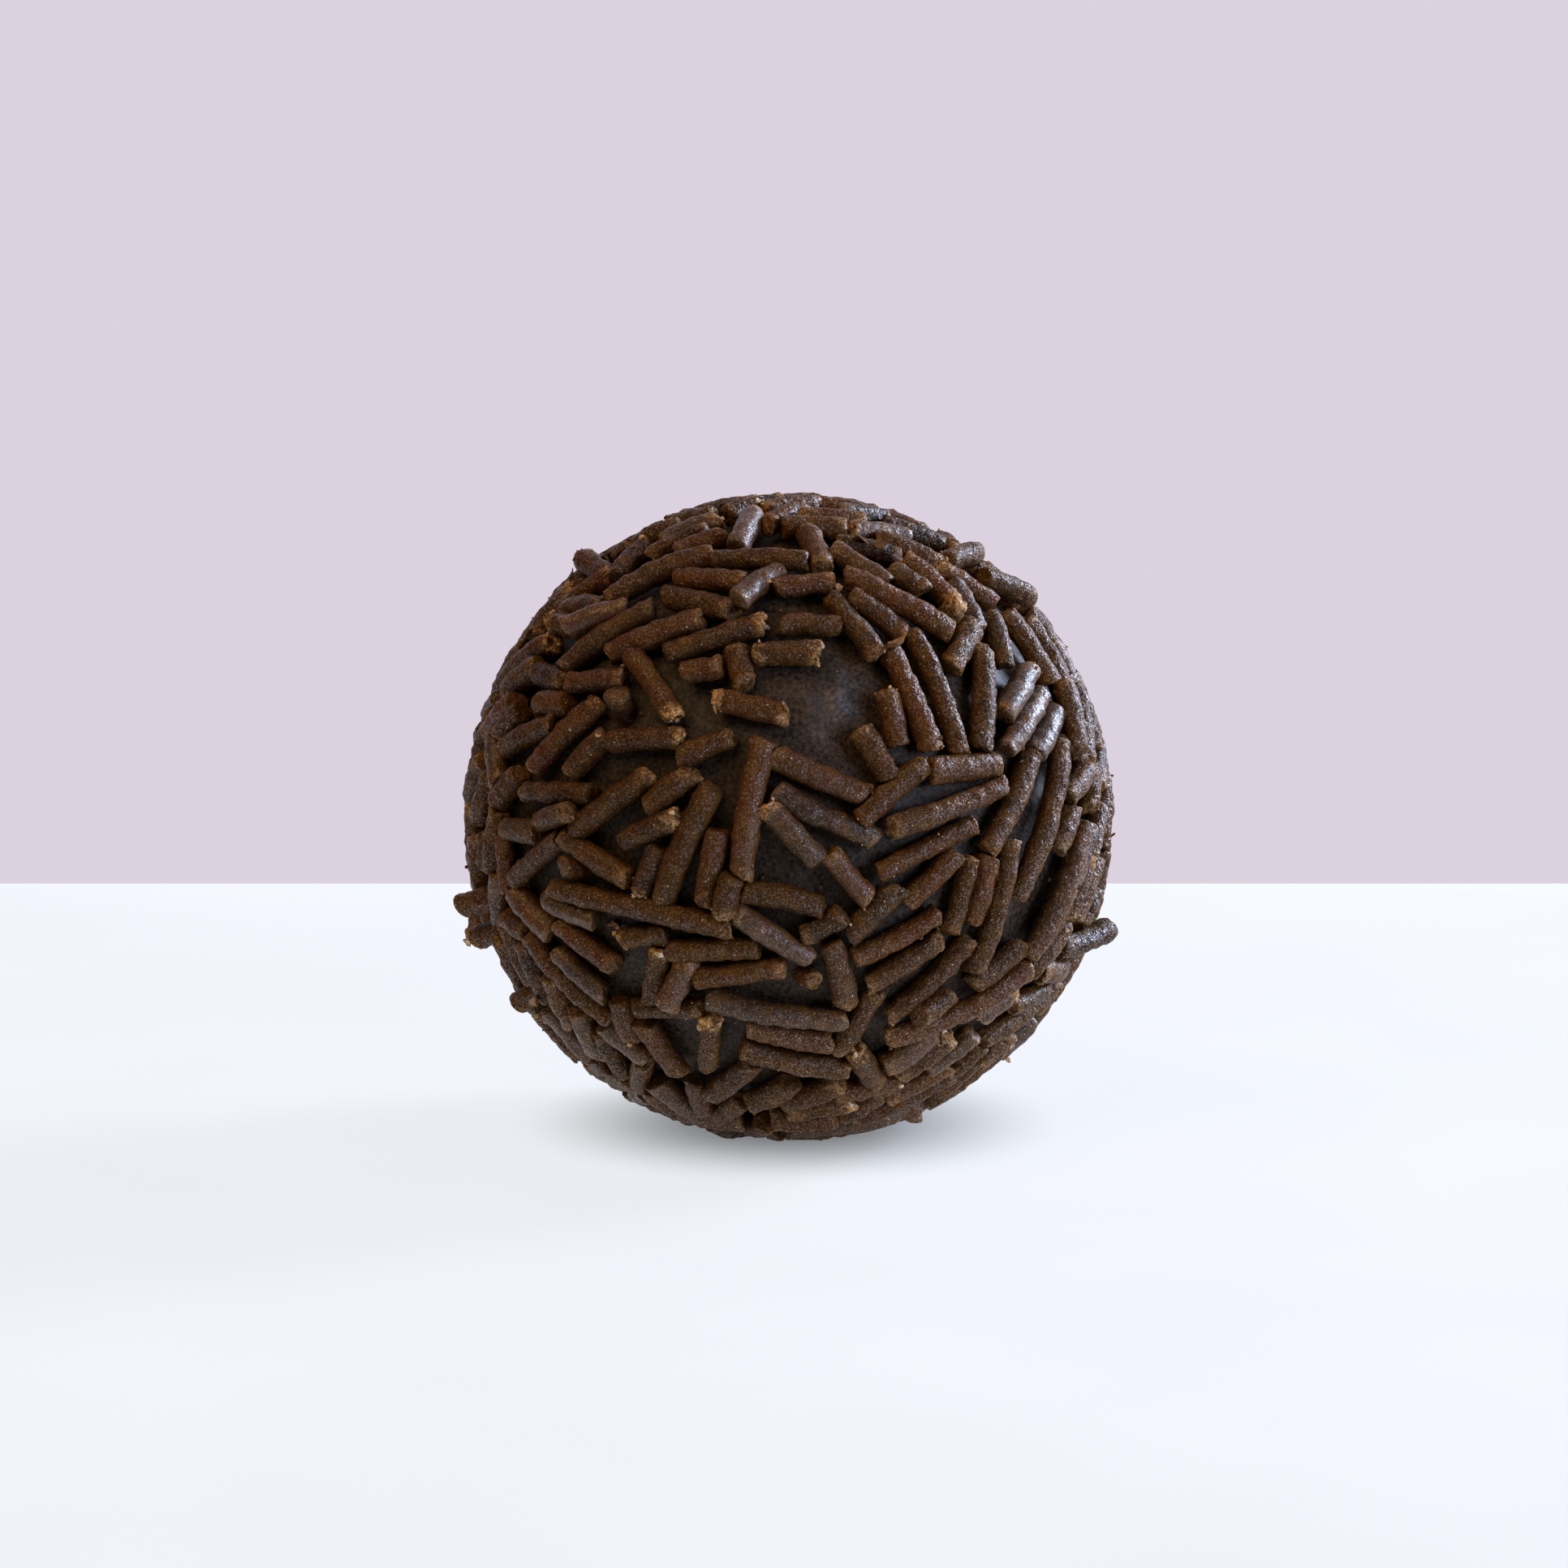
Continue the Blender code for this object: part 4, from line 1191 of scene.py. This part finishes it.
def add_node(tree, kind, values=None, links=None, stops=(), gives=None, **settings):
    """Adds a node with its settings and links; gives back the named or the first output."""
    made = tree.nodes.new("ShaderNode" + kind)
    for name, value in settings.items():
        setattr(made, name, value)
    feed(tree, made, values or {}, links or {})
    if stops:
        steps = made.color_ramp.elements
        while len(steps) < len(stops):
            steps.new(0.5)
        for step, (position, colour) in zip(steps, stops):
            step.position = position
            step.color = colour
    return made.outputs[gives] if gives else next(out for out in made.outputs if out.enabled)


def new_surface(name):
    """A new material: its node tree, its shader and a way to add nodes to it."""
    material = bpy.data.materials.new(name)
    material.use_nodes = True
    tree = material.node_tree
    return material, tree.nodes["Principled BSDF"], functools.partial(add_node, tree)


def vermicelli_chocolate(settings):
    """Extruded vermicelli of dark couverture and sugar, tumbled and broken to length.

    Dry and finely granular, so matt brown. Fat glazes the smooth spots between the
    grains, which break up its highlight. Tiny pale specks show: grains of sugar and milk,
    partly painted glints.
    """
    material, surface, add = new_surface("extruded_chocolate_vermicelli")
    place = add("TexCoord", gives="Object")
    tone, bloom, broken = (
        add("Attribute", gives="Fac", attribute_name=name) for name in ("tone", "bloom", "broken")
    )
    noise = {}
    for name, size, detail, roughness in (
        # Patches where the fat has bloomed or the sugar shows
        ("patches", 0.8 * MM, 3.0, 0.5),
        # Patches redder and more olive than the rest
        ("drift", 1.3 * MM, 2.0, 0.5),
        # The grit, coarser than the real one of some 0.05 mm so that it shows
        ("grain", 0.105 * MM, 2.0, 0.6),
        # Pale grains of sugar and milk, in loose groups, their near white partly painted glints
        ("sugar", 0.115 * MM, 1.0, 0.4),
        # The crumb where a strand is torn
        ("tear", 0.30 * MM, 3.0, 0.5),
    ):
        values = {"Scale": 1.0 / size, "Detail": detail, "Roughness": roughness}
        noise[name] = add("TexNoise", values, {"Vector": place})
    spans = {}
    for name, source, *span in (
        ("patched", noise["patches"], 0.46, 0.70, 0.0, 0.6),
        ("light", noise["grain"], 0.30, 0.72, 0.79, 1.25),
        ("hue", noise["drift"], 0.35, 0.65, 0.496, 0.511),
        ("specks", noise["sugar"], 0.735, 0.78, 0.0, 0.9),
        ("torn", noise["tear"], 0.35, 0.60, 0.0, 1.0),
        ("crumb light", noise["grain"], 0.35, 0.65, 0.35, 1.5),
        # Only the smooth spots between the grains are glazed
        ("glaze", noise["grain"], 0.47, 0.66, 0.0, 0.95),
        # Strands with fat at the surface shine more evenly, and their grain is flatter
        ("sheen", bloom, 0.75, 1.0, 0.0, 0.34),
        ("relief", bloom, 0.75, 1.0, 1.0, 0.55),
    ):
        spans[name] = add("MapRange", dict(zip(SPAN, span)), {"Value": source})

    browns = (
        (0.0, settings.cool),
        (0.30, settings.plain),
        (0.62, settings.plain),
        (0.80, settings.warm),
        (1.0, settings.dusty),
    )
    brown = add("ValToRGB", links={"Fac": tone}, stops=browns)
    links = {"Factor": spans["patched"], "A": brown}
    patched = add("Mix", {"B": settings.rubbed}, links, data_type="RGBA")
    links = {"Color": patched, "Value": spans["light"], "Hue": spans["hue"]}
    grained = add("HueSaturation", links=links)
    links = {"Factor": spans["specks"], "A": grained}
    specked = add("Mix", {"B": settings.specks}, links, data_type="RGBA")
    torn = add("Math", links={0: spans["torn"], 1: broken}, operation="MULTIPLY")
    crumb = add("HueSaturation", {"Color": settings.crumb}, {"Value": spans["crumb light"]})
    links = {"Factor": torn, "A": specked, "B": crumb}
    crumbed = add("Mix", links=links, data_type="RGBA")
    shine = add("Math", links={0: spans["glaze"], 1: spans["sheen"]}, operation="ADD")

    links = {"Height": noise["grain"], "Strength": spans["relief"]}
    fine = add("Bump", {"Distance": 0.045 * MM}, links)
    links = {"Height": noise["tear"], "Strength": spans["relief"], "Normal": fine}
    relief = add("Bump", {"Distance": 0.15 * MM}, links)
    # The glaze bends light more than fat does, so that its glints show at this size.
    gloss = {"Roughness": 0.45, "IOR": 1.5, "Specular IOR Level": 0.05}
    gloss.update({"Coat IOR": 1.76, "Coat Roughness": 0.44})
    links = {"Base Color": crumbed, "Coat Weight": shine, "Normal": relief, "Coat Normal": relief}
    feed(material.node_tree, surface, gloss, links)
    return material


def rolled_couverture(settings):
    """Dark couverture set round the centre as it was rolled in the hand.

    It has set smooth with fat at the surface, so it is near black with a soft cool sheen, smeared
    and dusted with brown where the strands rubbed over it. Beside the strands it is painted
    darker as shade, and its bluish grey bloom is partly painted sheen.
    """
    material, surface, add = new_surface("rolled_dark_couverture")
    place = add("TexCoord", gives="Object")
    bare = add("Attribute", gives="Fac", attribute_name="open")
    noise = {}
    for name, size, detail, roughness, distortion in (
        # Smears that the strands left
        ("smears", 1.6 * MM, 4.0, 0.62, 0.6),
        # Patches where the fat has bloomed, whose bluish grey is partly painted sheen
        ("bloom", 2.1 * MM, 3.0, 0.6, 0.0),
        # Brown dust, coarser than the real one so that it shows
        ("dust", 0.22 * MM, 2.0, 0.65, 0.0),
    ):
        values = {"Scale": 1.0 / size, "Detail": detail, "Roughness": roughness}
        values["Distortion"] = distortion
        noise[name] = add("TexNoise", values, {"Vector": place})
    spans = {}
    for name, *span in (
        ("bloom", 0.50, 0.68, 0.0, 0.8),
        ("dust", 0.35, 0.70, 0.35, 2.5),
        ("smears", 0.35, 0.70, 0.45, 0.62),
    ):
        spans[name] = add("MapRange", dict(zip(SPAN, span)), {"Value": noise[name]})

    browns = ((0.30, settings.dark), (0.52, settings.middle), (0.74, settings.smeared))
    smeared = add("ValToRGB", links={"Fac": noise["smears"]}, stops=browns)
    links = {"Factor": spans["bloom"], "A": smeared}
    bloom_and_painted_sheen = add("Mix", {"B": settings.bloom}, links, data_type="RGBA")
    # Painted shade: darker beside the strands, fading to the open colours
    links = {"Factor": bare, "B": bloom_and_painted_sheen}
    shaded = add("Mix", {"A": settings.painted_shade}, links, data_type="RGBA")
    dusted = add("HueSaturation", links={"Color": shaded, "Value": spans["dust"]})
    fine = add("Bump", {"Strength": 0.8, "Distance": 0.06 * MM}, {"Height": noise["dust"]})
    links = {"Height": noise["smears"], "Normal": fine}
    relief = add("Bump", {"Strength": 0.5, "Distance": 0.12 * MM}, links)
    gloss = {"IOR": 1.5, "Specular IOR Level": 0.15, "Coat IOR": 1.53, "Coat Roughness": 0.53}
    links = {"Base Color": dusted, "Roughness": spans["smears"], "Coat Weight": bare}
    links.update({"Normal": relief, "Coat Normal": relief})
    feed(material.node_tree, surface, gloss, links)
    return material


def loose_crumb(settings):
    """Bits broken off the strands: the same chocolate, dry and pale where it is torn."""
    material, surface, add = new_surface("loose_chocolate_crumb")
    place = add("TexCoord", gives="Object")
    tone = add("Attribute", gives="Fac", attribute_name="tone")
    # The same grit, coarser than the real one
    grain = add("TexNoise", {"Scale": 1.0 / (0.12 * MM), "Detail": 2.0}, {"Vector": place})
    light = add("MapRange", dict(zip(SPAN, (0.3, 0.7, 0.7, 1.3))), {"Value": grain})
    browns = (
        (0.0, settings.plain),
        (0.55, settings.rubbed),
        (0.80, settings.crumb),
        (1.0, settings.specks),
    )
    brown = add("ValToRGB", links={"Fac": tone}, stops=browns)
    grained = add("HueSaturation", links={"Color": brown, "Value": light})
    feed(material.node_tree, surface, {"Roughness": 0.5}, {"Base Color": grained})
    return material


def opal_board(settings):
    """Opal acrylic, cast and rubbed matt, lit from within so that shadows on it stay faint.

    Its glow fades under the ball, which paints a soft shadow there.
    """
    material, surface, add = new_surface("rubbed_opal_acrylic")
    place = add("TexCoord", gives="Object")
    mottle = add("TexNoise", {"Scale": 1.0 / (25.0 * MM), "Detail": 2.0}, {"Vector": place})
    light = add("MapRange", dict(zip(SPAN, (0.3, 0.7, 0.985, 1.015))), {"Value": mottle})
    shaded = add("HueSaturation", {"Color": settings.floor}, {"Value": light})
    away = add("VectorMath", links={0: place}, operation="LENGTH")
    # Painted shadow: the glow is dimmed under the ball and grows to full further out
    span = (PAINTED_SHADOW_TO, LIT_FROM, PAINTED_SHADOW_GLOW * settings.glow, settings.glow)
    soft = {"interpolation_type": "SMOOTHSTEP"}
    glow = add("MapRange", dict(zip(SPAN, span)), {"Value": away}, **soft)
    links = {"Base Color": shaded, "Emission Color": shaded, "Emission Strength": glow}
    feed(material.node_tree, surface, {"Roughness": 0.9, "Specular IOR Level": 0.2}, links)
    return material


# Operators


def declare(piece, material):
    """Gives the piece its finish and hangs it on its body, so that it moves with it."""
    piece.data.materials.append(material)
    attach(piece, BODY)


class TRUFFLE_OT_add_centre(bpy.types.Operator):
    """Add the rolled centre with its smeared couverture"""

    bl_idname = "truffle.add_centre"
    bl_label = "Rolled centre"

    def execute(self, context):
        settings = context.scene.truffle_centre
        way, faces = icosphere(CENTRE_FINENESS)
        base = way * settings.radius * np.array(CORE_OUT_OF_ROUND)
        relief = settings.waves * lumpy(base, *CENTRE_WAVES)
        relief += settings.dents * lumpy(base, *CENTRE_DENTS)
        relief += settings.grain * lumpy(base, *CENTRE_GRAIN)
        openness = open_share(way)
        relief += openness * settings.crumbs * lumpy(base, *CENTRE_CRUMB)
        piece = mesh_object(CENTRE_NAME, on_floor(base + way * relief[:, None]), faces, True)
        # Low beside the strands, where the core's material paints shade
        keep_values(piece, "open", openness)
        declare(piece, rolled_couverture(settings))
        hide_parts(NODE)
        return {"FINISHED"}


class TRUFFLE_OT_add_vermicelli(bpy.types.Operator):
    """Add the vermicelli strands, one piece for each kind of length"""

    bl_idname = "truffle.add_vermicelli"
    bl_label = "Vermicelli"

    def execute(self, context):
        settings = context.scene.truffle_vermicelli
        strands = vermicelli()
        looks = strand_looks(strands, settings, np.random.default_rng(SEED + 1))
        material = vermicelli_chocolate(settings)
        lengths = strands["length"]
        limits = [shortest for _, shortest in KINDS[1:]] + [math.inf]
        for (name, shortest), longest in zip(KINDS, limits):
            chosen = np.nonzero((lengths >= shortest) & (lengths < longest))[0]
            piece = add_strands(name, strands, looks, chosen, settings)
            declare(piece, material)
            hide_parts(NODE)
        return {"FINISHED"}


class TRUFFLE_OT_add_crumbs(bpy.types.Operator):
    """Add the crumbs that lie on the strands and on the bare places"""

    bl_idname = "truffle.add_crumbs"
    bl_label = "Crumbs"

    def execute(self, context):
        settings = context.scene.truffle_crumbs
        rng = np.random.default_rng(SEED + 2)
        names = [name for name, _ in KINDS] + [CENTRE_NAME]
        carriers = [bpy.data.objects[name] for name in names]
        seats, outward, torn = crumb_seats(carriers, settings, rng)
        count = len(seats)
        sizes = crumb_sizes(torn, settings, rng)
        shape, faces = icosphere(CRUMB_FINENESS)
        corners = crumb_corners(shape, seats, outward, sizes, rng)
        start = (np.arange(count) * len(shape))[:, None, None]
        faces = (start + np.array(faces)).reshape(-1, 3).tolist()
        piece = mesh_object("crumbs", corners.reshape(-1, 3), faces, False)
        pale, plain = rng.uniform(*PALE_TONES, count), MOST_TONE * rng.random(count)
        tone = np.where(torn > PALE_FROM, pale, plain)
        tone[-len(TORN_FLAKES) :] = rng.uniform(*TORN_TONES, len(TORN_FLAKES))
        keep_values(piece, "tone", np.repeat(tone, len(shape)))
        declare(piece, loose_crumb(context.scene.truffle_vermicelli))
        return {"FINISHED"}


class TRUFFLE_OT_set_stage(bpy.types.Operator):
    """Set the floor, the soft light and the camera"""

    bl_idname = "truffle.set_stage"
    bl_label = "Stage"

    def execute(self, context):
        settings = context.scene.truffle_stage
        add_floor(settings)
        add_surround(context.scene, settings)
        add_lamps(settings)
        add_camera(context.scene, settings)
        context.scene.view_settings.view_transform = "Standard"
        return {"FINISHED"}


# The stage


def add_floor(settings):
    """A level board whose far edges fall away, so that the surround shows behind."""
    even = np.linspace(-1.0, 1.0, FLOOR_STEPS)
    line = np.sign(even) * np.abs(even) ** FLOOR_GATHERED * FLOOR_REACH
    fall = np.maximum(np.abs(line) - FLOOR_LEVEL_TO, 0.0) ** 2 / (2.0 * FLOOR_FALL_RADIUS)
    x, y = np.meshgrid(line, line)
    fall_x, fall_y = np.meshgrid(fall, fall)
    corners = np.stack([x, y, -fall_x - fall_y], axis=2).reshape(-1, 3)
    index = np.arange(FLOOR_STEPS * FLOOR_STEPS).reshape(FLOOR_STEPS, FLOOR_STEPS)
    quads = np.stack([index[:-1, :-1], index[:-1, 1:], index[1:, 1:], index[1:, :-1]], axis=2)
    floor = mesh_object("floor", corners, quads.reshape(-1, 4).tolist(), True)
    floor.data.materials.append(opal_board(settings))


def add_surround(scene, settings):
    """A pale room, brighter towards the window than behind the camera."""
    world = bpy.data.worlds.new("pale_surround")
    world.use_nodes = True
    scene.world = world
    tree = world.node_tree
    add = functools.partial(add_node, tree)
    bright = {1: Vector(BRIGHT_SIDE).normalized()}
    way = add("TexCoord", gives="Generated")
    facing = add("VectorMath", bright, {0: way}, operation="DOT_PRODUCT")
    span = dict(zip(SPAN, (BRIGHT_FROM, BRIGHT_TO, 0.0, 1.0)))
    lightness = add("MapRange", span, {"Value": facing}, interpolation_type="SMOOTHSTEP")
    ends = {"A": settings.room, "B": settings.backdrop}
    colour = add("Mix", ends, {"Factor": lightness}, data_type="RGBA")
    feed(tree, tree.nodes["Background"], {}, {"Color": colour})


def add_lamps(settings):
    """Daylight high on the right and behind, less of it from the front, a warm ceiling."""
    for name, place, side, power, colour in LAMPS:
        lamp = bpy.data.lights.new(name, "AREA")
        lamp.size = side
        lamp.energy = power * settings.window
        lamp.color = linear(colour)[:3]
        held = bpy.data.objects.new(name, lamp)
        held.location = place
        aim = Vector(ball_centre().tolist()) - held.location
        held.rotation_euler = aim.to_track_quat("-Z", "Y").to_euler()
        bpy.context.scene.collection.objects.link(held)


def add_camera(scene, settings):
    """Looks down on the ball a little; the ball fills the frame as in the photo."""
    distance = settings.distance
    view = bpy.data.cameras.new("camera")
    view.sensor_width = SENSOR
    reach = math.sqrt(distance * distance - BALL_RADIUS * BALL_RADIUS)
    view.lens = BALL_PIXELS / PHOTO_SIDE * SENSOR * reach / BALL_RADIUS
    view.clip_start, view.clip_end = NEAREST, FARTHEST
    per_pixel = distance * SENSOR / (view.lens * PHOTO_SIDE)
    across, up, outward = (Vector(axis.tolist()) for axis in front_axes())
    ball = Vector(ball_centre().tolist())
    aim = ball + across * (0.5 * PHOTO_SIDE - BALL_PLACE[0]) * per_pixel
    aim = aim + up * (BALL_PLACE[1] - 0.5 * PHOTO_SIDE) * per_pixel
    held = bpy.data.objects.new("camera", view)
    held.location = aim + outward * distance
    held.rotation_euler = (-outward).to_track_quat("-Z", "Y").to_euler()
    scene.collection.objects.link(held)
    scene.camera = held


class TRUFFLE_PT_pieces(bpy.types.Panel):
    """The truffle's pieces and their settings"""

    bl_idname = "TRUFFLE_PT_pieces"
    bl_label = "Rum truffle"
    bl_space_type = "VIEW_3D"
    bl_region_type = "UI"
    bl_category = "Truffle"

    def draw(self, context):
        for (label, group), operator in zip(SETTINGS, OPERATORS):
            box = self.layout.box()
            box.operator(operator.bl_idname)
            settings = getattr(context.scene, label)
            for name in group.__annotations__:
                box.prop(settings, name)


OPERATORS = (
    TRUFFLE_OT_add_centre,
    TRUFFLE_OT_add_vermicelli,
    TRUFFLE_OT_add_crumbs,
    TRUFFLE_OT_set_stage,
)
CLASSES = tuple(group for _, group in SETTINGS) + OPERATORS + (TRUFFLE_PT_pieces,)


def register():
    for kind in CLASSES:
        bpy.utils.register_class(kind)
    for label, group in SETTINGS:
        setattr(bpy.types.Scene, label, bpy.props.PointerProperty(type=group))


def unregister():
    for label, _ in SETTINGS:
        delattr(bpy.types.Scene, label)
    for kind in reversed(CLASSES):
        bpy.utils.unregister_class(kind)


def main():
    register()
    bpy.ops.truffle.add_centre()
    bpy.ops.truffle.add_vermicelli()
    bpy.ops.truffle.add_crumbs()
    bpy.ops.truffle.set_stage()


if __name__ == "__main__":
    main()
